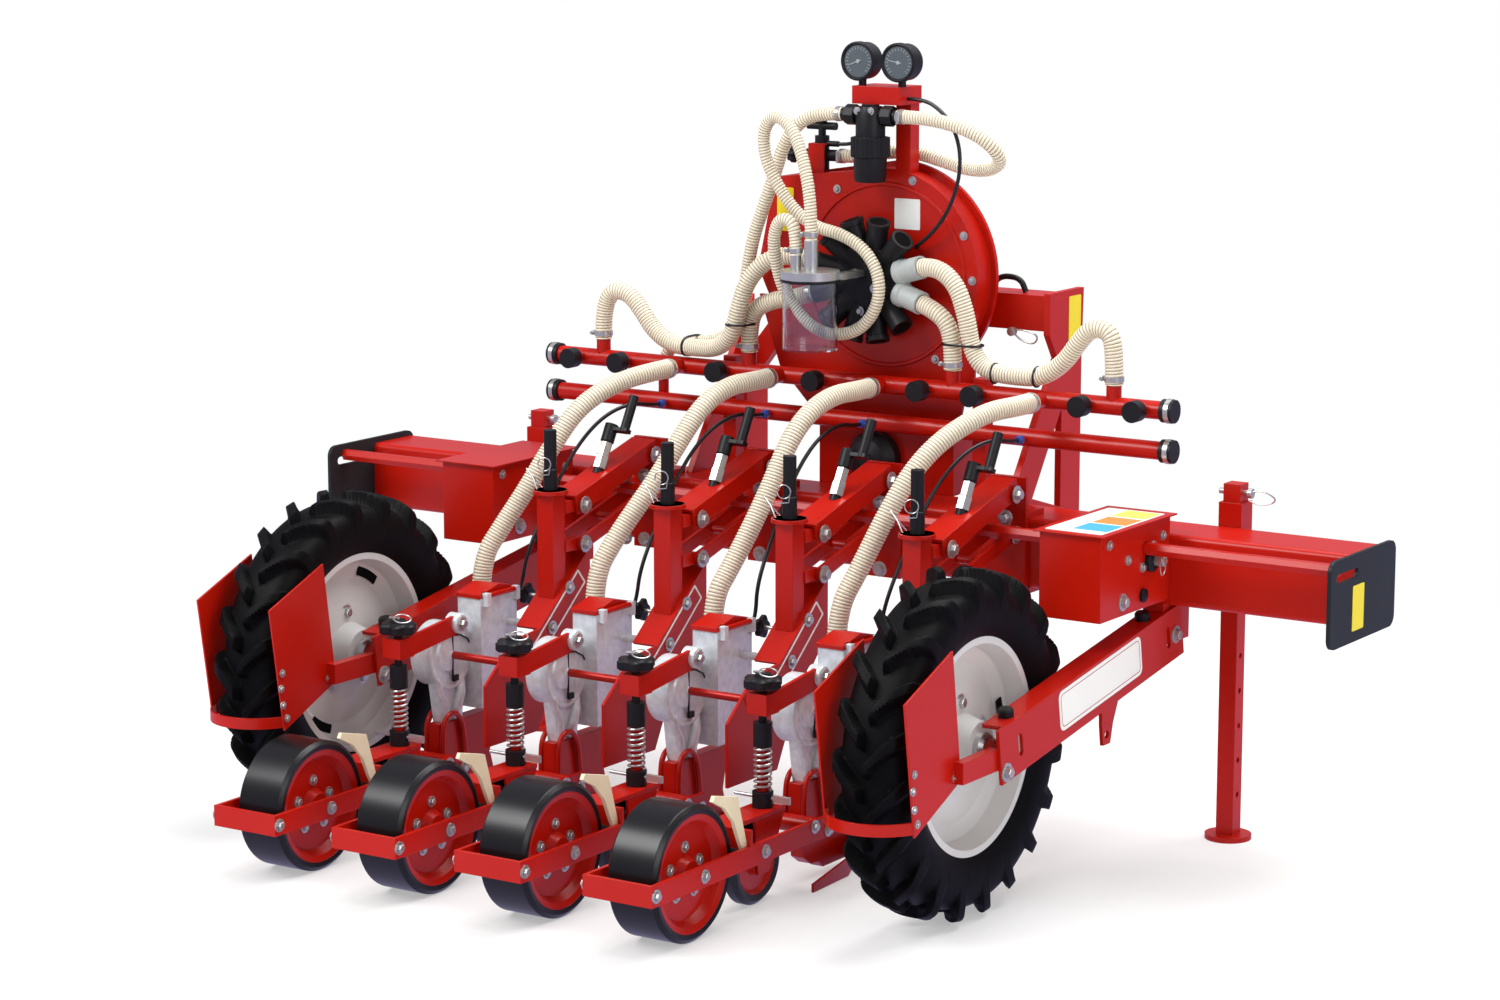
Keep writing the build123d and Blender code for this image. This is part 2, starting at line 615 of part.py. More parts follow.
def unit_clamp(place):
    x = (place - CLAMP_WIDTH / 2, place + CLAMP_WIDTH / 2)
    rear = (BEAM_REAR_Y - CLAMP_WALL, BEAM_REAR_Y)
    grip = (rear[0], BEAM_REAR_Y + CLAMP_GRIP)
    clamp = block(x, rear, (BEAM_LOW_Z - CLAMP_WALL, CLAMP_TOP_Z))
    clamp += block(x, grip, (BEAM_TOP_Z, BEAM_TOP_Z + CLAMP_WALL))
    clamp += block(x, grip, (BEAM_LOW_Z - CLAMP_WALL, BEAM_LOW_Z))
    rib = [(BEAM_REAR_Y, BEAM_TOP_Z), (grip[1], BEAM_TOP_Z + CLAMP_WALL), (BEAM_REAR_Y, CLAMP_TOP_Z)]
    clamp += side_plate(rib, (place - CLAMP_WALL / 2, place + CLAMP_WALL / 2))
    for pivot in (upper_far, lower_far):
        clamp += pivot_lug(place, pivot, BEAM_REAR_Y)
    return clamp


def upper_link(place):
    length = link_length + 2 * LINK_REACH
    width = LINK_WIDTH
    inside = Box(length, width - 2 * LINK_WALL, LINK_DEPTH)
    channel = Box(length, width, LINK_DEPTH) - Pos(0, 0, -LINK_WALL) * inside
    channel = Pos(link_length / 2, 0, LINK_BACK - LINK_DEPTH / 2) * channel
    for along in (0, link_length):
        channel -= Pos(along, 0, 0) * Rot(90, 0, 0) * Cylinder(PIVOT_RADIUS + PIVOT_ROOM, 2 * width)
    return Pos(place, LINK_NEAR_Y, LINK_NEAR_Z) * Rot(link_slope, 0, 0) * Rot(0, 0, 90) * channel


def lower_link(place):
    inner = LUG_WIDTH / 2 + SIDE_ROOM
    link = rod_x(PIVOT_RADIUS, (place - inner, place + inner),
                 (lower_near[0] + lower_far[0]) / 2, (lower_near[1] + lower_far[1]) / 2)
    for side in (-1, 1):
        x = sorted((place + side * inner, place + side * (inner + LOWER_BAR_WIDTH)))
        link += round_bar(lower_near, lower_far, LOWER_BAR_HEIGHT, x)
    for pivot in (lower_near, lower_far):
        link -= rod_x(PIVOT_RADIUS + PIVOT_ROOM, (place - LINK_WIDTH, place + LINK_WIDTH), *pivot)
    return link


def flange_height(y):
    """Height of the body's sloping flange at a place along the machine."""
    share = (y - BODY_LOW[0]) / (BODY_TOP[0] - BODY_LOW[0])
    return BODY_LOW[1] + share * (BODY_TOP[1] - BODY_LOW[1])


def unit_post(place):
    x = (place - POST_SIZE / 2, place + POST_SIZE / 2)
    y = (POST_REAR_Y, POST_REAR_Y + POST_SIZE)
    foot = [(y[0], flange_height(y[0])), (y[1], flange_height(y[1])), (y[1], POST_TOP_Z), (y[0], POST_TOP_Z)]
    post = side_plate(foot, x)
    cap_y = POST_REAR_Y + POST_SIZE / 2
    post += rod_z(POST_CAP_RADIUS, place, cap_y, (POST_TOP_Z, POST_TOP_Z + POST_CAP_THICK))
    for pivot in (upper_near, lower_near):
        post += pivot_lug(place, pivot, POST_REAR_Y + POST_SIZE)
    return post


def unit_body(place):
    web_x = (place + BODY_WIDTH / 2 - BODY_WALL, place + BODY_WIDTH / 2)
    body = side_plate([BODY_TOP, BODY_LOW, *BODY_WEB, (BODY_TOP[0], BODY_FRONT_Z)], web_x)
    slope = atan2(BODY_TOP[1] - BODY_LOW[1], BODY_TOP[0] - BODY_LOW[0])
    down = (BODY_WALL * sin(slope), -BODY_WALL * cos(slope))
    flange = [BODY_TOP, BODY_LOW, (BODY_LOW[0] + down[0], BODY_LOW[1] + down[1]),
              (BODY_TOP[0] + down[0], BODY_TOP[1] + down[1])]
    return body + side_plate(flange, (place - BODY_WIDTH / 2, place + BODY_WIDTH / 2))


add("unit_clamps", [unit_clamp(place) for place in unit_places])
add("unit_links", [link(place) for link in (upper_link, lower_link) for place in unit_places])
add("unit_posts", [unit_post(place) for place in unit_places])
add("unit_bodies", [unit_body(place) for place in unit_places])


# Lift crank on each upper link and locking handle on each post
def standing_rod(size, x, y, z):
    """A round bar that stands on a point, from its radius and length."""
    return Pos(x, y, z) * Cylinder(*size, align=(Align.CENTER, Align.CENTER, Align.MIN))


def lift_crank(place):
    """A leaning crank whose foot is cut flush with the link's back."""
    foot_y = LINK_NEAR_Y + CRANK_SHARE * (LINK_FAR_Y - LINK_NEAR_Y)
    foot_z = LINK_NEAR_Z + CRANK_SHARE * (LINK_FAR_Z - LINK_NEAR_Z)
    sleeve_z = CRANK_STEM[1] - CRANK_SINK
    arm_z = sleeve_z + CRANK_SLEEVE[1] - CRANK_GRIP_DROP
    crank = standing_rod(CRANK_STEM, 0, 0, -CRANK_SINK) + standing_rod(CRANK_SLEEVE, 0, 0, sleeve_z)
    crank += Pos(CRANK_ARM_OFF, 0, arm_z + CRANK_ARM[2] / 2) * Box(*CRANK_ARM)
    crank += standing_rod(CRANK_GRIP, CRANK_GRIP_OFF, 0, arm_z)
    crank = Rot(-CRANK_LEAN - link_slope, 0, 0) * crank
    crank -= Pos(0, 0, -LINK_DEPTH) * Box(LINK_WIDTH, 2 * LINK_DEPTH, 2 * LINK_DEPTH)
    return Pos(place, foot_y, foot_z) * Rot(link_slope, 0, 0) * Pos(0, 0, LINK_BACK) * crank


def post_handle(place):
    top = POST_TOP_Z + POST_CAP_THICK
    y = POST_REAR_Y + POST_SIZE / 2
    grip = standing_rod(HANDLE_GRIP, place, y, top + HANDLE_STEM[1])
    return standing_rod(HANDLE_STEM, place, y, top) + grip


add("unit_handles", [handle(place) for handle in (lift_crank, post_handle) for place in unit_places])


# Seed meters: cast hopper and disc housing, carried by two rods from the unit's body
lid_pin_x = HOPPER_RIGHT + LID_PIN_OFF
lid_pin_z = HOPPER_TOP_Z + LID_PIN_UP
lid_ears = (HOPPER_REAR_Y + LID_EAR_INSET, HOPPER_FRONT_Y - LID_EAR_INSET - LID_EAR)


def hopper_outline(wall, floor):
    """The hopper's side view, drawn in by a wall and a floor."""
    rear, front = HOPPER_REAR_Y + wall, HOPPER_FRONT_Y - wall
    toe = HOPPER_REAR_Y + HOPPER_TOE
    return [(rear, HOPPER_TOP_Z), (front, HOPPER_TOP_Z), (front, HOPPER_WAIST_Z + wall),
            (toe, HOPPER_FOOT_Z + floor), (rear, HOPPER_FOOT_Z + floor)]


def meter_housing(seed, place):
    x = (seed + HOPPER_LEFT, seed + HOPPER_RIGHT)
    disc_x = (seed + DISC_LEFT, seed + DISC_RIGHT)
    meter = side_plate(hopper_outline(0, 0), x) + rod_x(DISC_RADIUS, disc_x, DISC_Y, DISC_Z)
    meter -= side_plate(hopper_outline(HOPPER_WALL, HOPPER_FLOOR), (x[0] + HOPPER_WALL, x[1] - HOPPER_WALL))
    outlet = [(OUTLET_HEAD[0], OUTLET_HEAD_Z), (OUTLET_HEAD[1], OUTLET_HEAD_Z),
              (OUTLET_FOOT[1], OUTLET_FOOT_Z), (OUTLET_FOOT[0], OUTLET_FOOT_Z)]
    meter += side_plate(outlet, (seed + OUTLET_X[0], seed + OUTLET_X[1]))
    meter += block((seed + DUCT_X[0], seed + DUCT_X[1]), DUCT_Y, DUCT_Z)
    meter += rod_z(METER_HOSE_RADIUS, seed + STUB_X, STUB_Y, (DUCT_Z[0], STUB_TOP_Z))
    stub = (HOPPER_FRONT_Y, HOPPER_FRONT_Y + PIPE_STUB[1])
    meter += rod_y(PIPE_STUB[0], seed + PIPE_STUB_X, stub, PIPE_STUB_Z)
    for ear in lid_ears:
        ear_x = (x[1], seed + lid_pin_x + LID_BARREL_RADIUS)
        ear_z = (HOPPER_TOP_Z - LID_EAR_DROP, lid_pin_z + LID_BARREL_RADIUS)
        meter += block(ear_x, (ear, ear + LID_EAR), ear_z)
    meter += rod_y(LID_PIN_RADIUS, seed + lid_pin_x, (lid_ears[0], lid_ears[1] + LID_EAR), lid_pin_z)
    web = place + BODY_WIDTH / 2 - BODY_WALL
    for rod_yz, start in zip(METER_RODS, (x[1] - HOPPER_WALL / 2, disc_x[1])):
        meter += rod_x(METER_ROD_RADIUS, (start, web), *rod_yz)
    return meter


def hopper_lid(seed):
    x = (seed + HOPPER_LEFT - LID_EDGE, seed + HOPPER_RIGHT)
    y = (HOPPER_REAR_Y - LID_EDGE, HOPPER_FRONT_Y + LID_EDGE)
    low = HOPPER_TOP_Z + LID_ROOM
    peak = (HOPPER_REAR_Y + HOPPER_FRONT_Y) / 2
    brim = low + LID_BRIM
    lid = side_plate([(y[0], low), (y[1], low), (y[1], brim), (peak, low + LID_HEIGHT), (y[0], brim)], x)
    for ear in lid_ears:
        notch_y = (ear - LID_EAR_GAP, ear + LID_EAR + LID_EAR_GAP)
        lid -= block((x[1] - LID_NOTCH, x[1] + LID_NOTCH), notch_y, (low, low + LID_HEIGHT))
    pin_x = seed + lid_pin_x
    barrel_y = (lid_ears[0] + LID_EAR + LID_EAR_GAP, lid_ears[1] - LID_EAR_GAP)
    lid += rod_y(LID_BARREL_RADIUS, pin_x, barrel_y, lid_pin_z)
    lid += block((x[1], pin_x), barrel_y, (low, low + LID_WEB))
    return lid - rod_y(LID_PIN_RADIUS + LID_PIN_ROOM, pin_x, y, lid_pin_z)


add("meter_housings", [meter_housing(seed, place) for seed, place in zip(seed_lines, unit_places)])
for number, seed in enumerate(seed_lines, start=1):
    add("hopper_lid_%d" % number, [hopper_lid(seed)])


# Furrow openers under the meters
def seed_shoe(seed):
    shoe = [(SHOE_FRONT_Y, OUTLET_FOOT_Z), *SHOE_SIDE, (SHOE_REAR_Y, OUTLET_FOOT_Z)]
    return side_plate(shoe, (seed - SHOE_HALF, seed + SHOE_HALF))


add("seed_shoes", [seed_shoe(seed) for seed in seed_lines])


# Yokes with the press wheels' axles and the forks of the firming wheels
def press_yoke(seed):
    half = YOKE_HEIGHT / 2
    z = (PRESS_RADIUS - half, PRESS_RADIUS + half)
    rear = PRESS_Y - PRESS_RADIUS - YOKE_TAIL
    yoke = rod_x(PRESS_AXLE_RADIUS, (seed - YOKE_HALF, seed + YOKE_HALF), PRESS_Y, PRESS_RADIUS)
    yoke += rod_x(YOKE_TUBE_RADIUS, (seed - YOKE_HALF, seed + YOKE_HALF), YOKE_TUBE_Y, PRESS_RADIUS)
    for side in (-1, 1):
        x = sorted((seed + side * YOKE_HALF, seed + side * (YOKE_HALF + YOKE_WALL)))
        yoke += block(x, (rear, YOKE_FRONT_Y), z)
    ends = (seed - YOKE_HALF - YOKE_WALL, seed + YOKE_HALF + YOKE_WALL)
    yoke += block(ends, (rear, rear + YOKE_WALL), z)
    yoke += block(ends, (YOKE_CROSS_Y, YOKE_CROSS_Y + YOKE_WALL), (z[1] - YOKE_WALL, COLUMN_FOOT_Z))
    saddle = (YOKE_CROSS_Y, COLUMN_Y + SADDLE_HALF)
    saddle_z = (COLUMN_FOOT_Z - YOKE_WALL, COLUMN_FOOT_Z)
    yoke += block((seed - SADDLE_HALF, seed + SADDLE_HALF), saddle, saddle_z)
    yoke += rod_x(FIRM_AXLE_RADIUS, (seed - FIRM_CHEEK, seed + FIRM_CHEEK), FIRM_Y, FIRM_RADIUS)
    for side in (-1, 1):
        x = sorted((seed + side * FIRM_CHEEK, seed + side * (FIRM_CHEEK + FIRM_CHEEK_WALL)))
        foot_z = FIRM_RADIUS - FIRM_CHEEK_FOOT
        cheek = [(FIRM_Y - FIRM_CHEEK_FOOT, foot_z), (FIRM_Y + FIRM_CHEEK_FOOT, foot_z),
                 (saddle[1], saddle_z[0]), (FIRM_Y - SADDLE_HALF, saddle_z[0])]
        yoke += side_plate(cheek, x)
    return yoke


def spring_column(seed):
    column = rod_z(COLUMN_ROD_RADIUS, seed, COLUMN_Y, (COLUMN_FOOT_Z, COLUMN_TOP_Z))
    column += rod_z(SPRING_RADIUS, seed, COLUMN_Y, (SPRING_HIGH_Z, SPRING_HIGH_Z + COLLAR_HEIGHT))
    return column + rod_z(SEAT_RADIUS, seed, COLUMN_Y, (COLUMN_FOOT_Z, SPRING_LOW_Z))


def spring_sleeve(seed):
    coil = rod_z(SPRING_RADIUS, seed, COLUMN_Y, (SPRING_LOW_Z, SPRING_HIGH_Z))
    return coil - rod_z(COLUMN_ROD_RADIUS + SPRING_ROOM, seed, COLUMN_Y, (SPRING_LOW_Z, SPRING_HIGH_Z))


def depth_knob(seed):
    knob = standing_rod(KNOB, seed, COLUMN_Y, COLUMN_TOP_Z)
    bar_x = (seed - KNOB_BAR[1], seed + KNOB_BAR[1])
    return knob + rod_x(KNOB_BAR[0], bar_x, COLUMN_Y, COLUMN_TOP_Z + KNOB_BAR_UP)


def meter_bar(seed):
    """Flat bar from the meter's ear back to the head of the spring column."""
    top = COLUMN_TOP_Z - BAR_DROP
    low = top - BAR_HEIGHT
    bar = block((seed - BAR_HALF, seed + BAR_HALF), (COLUMN_Y - BAR_HALF, COLUMN_Y + BAR_HALF), (low, top))
    bar -= rod_z(COLUMN_ROD_RADIUS + SPRING_ROOM, seed, COLUMN_Y, (low, top))
    front_y = DISC_Y + BAR_HEIGHT / 2
    arm = [(COLUMN_Y, top), (front_y, top + BAR_HEIGHT / 2), (front_y, top - BAR_HEIGHT / 2), (COLUMN_Y, low)]
    return bar + side_plate(arm, (seed + BAR_HALF - BAR_ARM, seed + BAR_HALF))


add("press_yokes", [press_yoke(seed) for seed in seed_lines])
add("spring_columns", [spring_column(seed) + depth_knob(seed) for seed in seed_lines])
add("column_springs", [spring_sleeve(seed) for seed in seed_lines])
add("meter_bars", [meter_bar(seed) for seed in seed_lines])


def press_disc(seed):
    half = PRESS_WIDTH / 2
    bore = PRESS_AXLE_RADIUS + AXLE_ROOM
    face = half - PRESS_FACE
    front, back = [half - inset for inset in PRESS_DISH]
    outer, inner = [PRESS_RIM_RADIUS - depth for depth in PRESS_FOLD]
    flare = PRESS_HUB_RADIUS + PRESS_FLARE
    edge = half - PRESS_EDGE
    right = [(face, bore), (face, PRESS_HUB_RADIUS), (front, flare), (front, inner), (face, outer)]
    left = [(-face, outer), (back, inner), (back, flare), (-face, PRESS_HUB_RADIUS), (-face, bore)]
    profile = [*right, (edge, PRESS_RIM_RADIUS), (-edge, PRESS_RIM_RADIUS), *left]
    return ring_x(profile, seed, PRESS_Y, PRESS_RADIUS)


def press_tyre(seed):
    half = PRESS_WIDTH / 2
    edge = half - PRESS_EDGE
    crown = half - PRESS_CROWN[0]
    shoulder = PRESS_RADIUS - PRESS_CROWN[1]
    profile = [(-edge, PRESS_RIM_RADIUS), (edge, PRESS_RIM_RADIUS), (half, shoulder), (crown, PRESS_RADIUS),
               (-crown, PRESS_RADIUS), (-half, shoulder)]
    return ring_x(profile, seed, PRESS_Y, PRESS_RADIUS)


def firming_wheel(seed):
    """A thin disc with a rubber band moulded on."""
    half = FIRM_WIDTH / 2
    bore = FIRM_AXLE_RADIUS + AXLE_ROOM
    hub = half + FIRM_HUB_OUT
    disc = half - FIRM_DISH
    face, root = [bore + wall for wall in FIRM_HUB_WALL]
    right = [(hub, bore), (hub, face), (disc, root), (disc, FIRM_RIM_RADIUS - FIRM_FOLD[1]),
             (half - FIRM_FOLD[0], FIRM_RIM_RADIUS), (half, FIRM_RADIUS - FIRM_CROWN),
             (half - FIRM_CROWN, FIRM_RADIUS)]
    left = [(-width, radius) for width, radius in reversed(right)]
    return ring_x(right + left, seed, FIRM_Y, FIRM_RADIUS)


for number, seed in enumerate(seed_lines, start=1):
    add("press_tyre_%d" % number, [press_tyre(seed)])
    add("press_disc_%d" % number, [press_disc(seed)])
    add("firming_wheel_%d" % number, [firming_wheel(seed)])


# Ground wheels: lugged tyre on a dished steel rim
def ground_tyre(x):
    half = TYRE_WIDTH / 2
    carcass = TYRE_RADIUS - TYRE_LUG
    seat = RIM_WIDTH / 2 - RIM_WALL
    right = [(seat, TYRE_BEAD_RADIUS), (seat, RIM_RADIUS + TYRE_SEAT_ROOM),
             (half - TYRE_TOE[0], RIM_RADIUS + TYRE_TOE[1]), (half, RIM_RADIUS + TYRE_WIDEST),
             (half - TYRE_ROLL[0], carcass - TYRE_ROLL[1]), (half - TYRE_FLAT, carcass)]
    profile = right + [(-width, radius) for width, radius in reversed(right)]
    tyre = ring_x(profile, 0, 0, 0)
    step = 360.0 / LUG_COUNT
    lug_z = carcass + (TYRE_LUG - LUG_ROOT) / 2
    for number in range(LUG_COUNT):
        for side in (-1, 1):
            slant = Rot(0, 0, side * LUG_SWEEP)
            lug = slant * Box(LUG_LENGTH, LUG_THICK, TYRE_LUG + LUG_ROOT)
            turn = (number + (side + 1) / 4) * step
            tyre += Rot(turn, 0, 0) * Pos(side * (half - LUG_INSET), 0, lug_z) * lug
    shoulder = (half - LUG_SHOULDER[0], TYRE_RADIUS - LUG_SHOULDER[1])
    right = [(half, TYRE_BEAD_RADIUS), (half, shoulder[1]), (shoulder[0], TYRE_RADIUS)]
    trim = ring_x(right + [(-width, radius) for width, radius in reversed(right)], 0, 0, 0)
    return Pos(x, AXLE_Y, TYRE_RADIUS) * (tyre & trim)


def ground_rim(x):
    seat = RIM_WIDTH / 2
    bed = TYRE_BEAD_RADIUS
    flange = seat - RIM_WALL
    under = bed - RIM_WALL
    join = under - RIM_DROP
    bore = STUB_RADIUS + AXLE_ROOM
    profile = [(-seat, RIM_RADIUS), (-flange, RIM_RADIUS), (-flange, bed), (flange, bed),
               (flange, RIM_RADIUS), (seat, RIM_RADIUS), (seat, under), (RIM_JOIN[0], join), *RIM_DISC_RIGHT,
               (HUB_RIGHT[0], HUB_RADIUS),
               (HUB_RIGHT[1], HUB_RADIUS - HUB_TAPER[0]), (HUB_RIGHT[1], bore), (HUB_LEFT[1], bore),
               (HUB_LEFT[1], HUB_RADIUS - HUB_TAPER[1]), (HUB_LEFT[0], HUB_RADIUS), *RIM_DISC_LEFT,
               (RIM_JOIN[1], join), (-seat, under)]
    return ring_x(profile, x, AXLE_Y, TYRE_RADIUS)


for side, x in zip(("left", "right"), WHEEL_X):
    add("ground_tyre_%s" % side, [ground_tyre(x)])
    add("ground_rim_%s" % side, [ground_rim(x)])


# Wheel arms: a channel from a pivot under the toolbar to the stub axle
def wheel_arm(x):
    web = x + ARM_OFFSET
    run = hypot(ARM_PIVOT_Y - AXLE_Y, ARM_PIVOT_Z - TYRE_RADIUS)
    slope = degrees(atan2(ARM_PIVOT_Z - TYRE_RADIUS, ARM_PIVOT_Y - AXLE_Y))
    length = run + ARM_REAR_REACH + ARM_FRONT_REACH
    middle = (run + ARM_FRONT_REACH - ARM_REAR_REACH) / 2
    rise = (ARM_HEIGHT - ARM_WALL) / 2
    arm = Pos(middle, 0, 0) * Box(length, ARM_WALL, ARM_HEIGHT)
    for along in ARM_SLOT_ALONG:
        slot = extrude(Rot(0, 0, 90) * SlotOverall(*ARM_SLOT), ARM_WALL, both=True)
        arm -= Pos(along, 0, 0) * Rot(90, 0, 0) * slot
    flange = Box(length - ARM_FLANGE_START, ARM_FLANGE, ARM_WALL)
    arm += Pos(middle + ARM_FLANGE_START / 2, (ARM_FLANGE - ARM_WALL) / 2, rise) * flange
    arm = Pos(web, AXLE_Y, TYRE_RADIUS) * Rot(slope, 0, 0) * Rot(0, 0, 90) * arm
    arm += rod_x(STUB_RADIUS, (x - STUB_REACH, web), AXLE_Y, TYRE_RADIUS)
    web_x = (web - ARM_WALL / 2, web + ARM_WALL / 2)
    arm += side_plate(ARM_LUG, web_x) + rod_x(ARM_LUG_END, web_x, *ARM_LUG_HOLE)
    arm -= rod_x(ARM_LUG_BORE, (web - ARM_WALL, web + ARM_WALL), *ARM_LUG_HOLE)
    bracket_y = (BEAM_REAR_Y + ARM_FOOT_INSET[0], BEAM_FRONT_Y - ARM_FOOT_INSET[1])
    return arm + block((web - ARM_FLANGE, web_x[0]), bracket_y, (ARM_PIVOT_Z - ARM_FOOT_DROP, BEAM_LOW_Z))


def wheel_scraper(x):
    """Two plates beside the tyre and the strap that runs round behind it."""
    reach = SCRAPER_OFFSET + SCRAPER_WALL
    inner = reach - STRAP_WALL
    outer_arc = ThreePointArc((x - reach, STRAP_ROOT_Y), (x, STRAP_BACK_Y), (x + reach, STRAP_ROOT_Y))
    inner_back = (x, STRAP_BACK_Y + STRAP_WALL)
    inner_arc = ThreePointArc((x + inner, STRAP_ROOT_Y), inner_back, (x - inner, STRAP_ROOT_Y))
    ends = [Line((x + side * reach, STRAP_ROOT_Y), (x + side * inner, STRAP_ROOT_Y)) for side in (-1, 1)]
    scraper = Pos(0, 0, STRAP_LOW_Z) * extrude(make_face([outer_arc, inner_arc, *ends]), STRAP_HEIGHT)
    for side in (-1, 1):
        limits = sorted((x + side * SCRAPER_OFFSET, x + side * reach))
        scraper += side_plate(SCRAPER_PLATE, limits)
    return scraper + block((x + reach, x + ARM_OFFSET - ARM_WALL / 2), SCRAPER_TAB_Y, SCRAPER_TAB_Z)


add("wheel_arms", [wheel_arm(x) for x in WHEEL_X])
add("wheel_scrapers", [wheel_scraper(x) for x in WHEEL_X])


# Drive boxes: sheet housings behind the toolbar under overhanging lids
def drive_box(left):
    x = (left, left + BOX_WIDTH)
    y = (BOX_REAR_Y, BEAM_REAR_Y)
    z = (BOX_LOW_Z, BOX_HIGH_Z)
    box = block(x, y, z)
    room_y = (y[0] + BOX_WALL, y[1] - BOX_WALL)
    box -= block((x[0] + BOX_WALL, x[1] - BOX_WALL), room_y, (z[0] + BOX_WALL, z[1]))
    return box - shaft_passage


def drive_box_lid(left):
    x = (left - LID_LAP, left + BOX_WIDTH + LID_LAP)
    y = (BOX_REAR_Y - LID_LAP, BEAM_REAR_Y + LID_LAP)
    return block(x, y, (BOX_HIGH_Z, BOX_HIGH_Z + LID_SHEET))


add("drive_boxes", [drive_box(left) for left in BOX_LEFT])
add("drive_box_lids", [drive_box_lid(left) for left in BOX_LEFT])


# Parking stands in sleeves on the toolbar's front face
def stand_sleeve(x):
    outer = STAND_SIZE + 2 * STAND_ROOM + 2 * SLEEVE_WALL
    y = BEAM_FRONT_Y + outer / 2
    height = SLEEVE_HIGH_Z - SLEEVE_LOW_Z
    inner = STAND_SIZE + 2 * STAND_ROOM
    sleeve = Box(outer, outer, height) - Box(inner, inner, 2 * height)
    return Pos(x, y, (SLEEVE_LOW_Z + SLEEVE_HIGH_Z) / 2) * sleeve


def parking_stand(x):
    outer = STAND_SIZE + 2 * STAND_ROOM + 2 * SLEEVE_WALL
    y = BEAM_FRONT_Y + outer / 2
    half = STAND_SIZE / 2
    stand = block((x - half, x + half), (y - half, y + half), (STAND_FOOT_THICK, STAND_TOP_Z))
    holes = int((SLEEVE_LOW_Z - STAND_HOLE_LOW_Z) // STAND_HOLE_PITCH)
    for number in range(holes):
        hole_z = STAND_HOLE_LOW_Z + number * STAND_HOLE_PITCH
        stand -= rod_x(STAND_HOLE_RADIUS, (x - STAND_SIZE, x + STAND_SIZE), y, hole_z)
    return stand + rod_z(STAND_FOOT_RADIUS, x, y, (0, STAND_FOOT_THICK))


add("stand_sleeves", [stand_sleeve(side * STAND_X) for side in (-1, 1)])
for side, name in ((-1, "left"), (1, "right")):
    add("parking_stand_%s" % name, [parking_stand(side * STAND_X)])


# Hitch: two side frames on the toolbar, a top beam between them, pins and a top-link clevis
def hitch_frame(side):
    x = sorted((side * HITCH_X, side * (HITCH_X + HITCH_WALL)))
    rear, front = HITCH_POST_Y
    head_y = front - HITCH_HEAD
    post = [(rear, HITCH_LOW_Z), (front, HITCH_LOW_Z)]
    if side > 0:
        post += [(front, HITCH_NECK_Z), (front + HITCH_LEAN, HITCH_TOP_Z), (head_y, HITCH_TOP_Z),
                 (head_y, HITCH_HEAD_Z[1]), (rear, HITCH_HEAD_Z[0])]
    else:
        post += [(front, HITCH_LEFT_TOP_Z), (rear, HITCH_LEFT_TOP_Z)]
    strut = [(BEAM_FRONT_Y - STRUT_FOOT[0], BEAM_TOP_Z), (BEAM_FRONT_Y + STRUT_FOOT[1], BEAM_TOP_Z),
             (rear + STRUT_HEAD_IN, STRUT_HEAD_Z[0]), (rear + STRUT_HEAD_IN, STRUT_HEAD_Z[1])]
    brace = [(BEAM_FRONT_Y, BEAM_LOW_Z + BRACE_RISE[0]), (BEAM_FRONT_Y, BEAM_TOP_Z + BRACE_DROP[0]),
             (rear + BRACE_REACH, BEAM_TOP_Z - BRACE_DROP[1]),
             (rear + BRACE_REACH, BEAM_LOW_Z + BRACE_RISE[1])]
    return side_plate(post, x) + side_plate(strut, x) + side_plate(brace, x)


def raking_stay():
    """A plate from the low left post to the top beam's left end."""
    left = -HITCH_X - HITCH_WALL
    outline = [(left, HITCH_LEFT_TOP_Z - STAY_FOOT), (left, HITCH_LEFT_TOP_Z),
               (TOP_BEAM_LEFT, TOP_BEAM_Z + TOP_BEAM_HEIGHT), (TOP_BEAM_LEFT, TOP_BEAM_Z)]
    return cross_plate(outline, STAY_Y)


def hitch_pin(side):
    x = sorted((side * (HITCH_X + HITCH_WALL), side * (HITCH_X + HITCH_WALL + HITCH_PIN_LENGTH)))
    return rod_x(HITCH_PIN_RADIUS, x, HITCH_PIN_Y, HITCH_PIN_Z)


def top_beam():
    y = (TOP_BEAM_Y, TOP_BEAM_Y + TOP_BEAM_SIZE)
    z = (TOP_BEAM_Z, TOP_BEAM_Z + TOP_BEAM_HEIGHT)
    return block((TOP_BEAM_LEFT, HITCH_X), y, z)


def top_clevis():
    y = TOP_BEAM_Y + TOP_BEAM_SIZE
    tip = y + TOP_EAR_REACH
    half = TOP_EAR_GAP / 2 + TOP_EAR_WALL
    high = TOP_BEAM_Z + TOP_BEAM_HEIGHT
    tip_z = [TOP_BEAM_Z + rise for rise in TOP_EAR_TIP]
    outline = [(y, TOP_BEAM_Z), (tip, tip_z[0]), (tip, tip_z[1]), (y, high)]
    clevis = block((-half, half), (y, y + TOP_PAD), (TOP_BEAM_Z, high))
    for side in (-1, 1):
        clevis += side_plate(outline, sorted((side * TOP_EAR_GAP / 2, side * half)))
    return clevis - rod_x(TOP_PIN_BORE, (-2 * half, 2 * half), tip - TOP_PIN_BACK, TOP_BEAM_Z + TOP_PIN_UP)


add("hitch_frames", [hitch_frame(-1) + hitch_pin(-1) + raking_stay(), hitch_frame(1) + hitch_pin(1)])
add("hitch_beam", [top_beam(), top_clevis()])


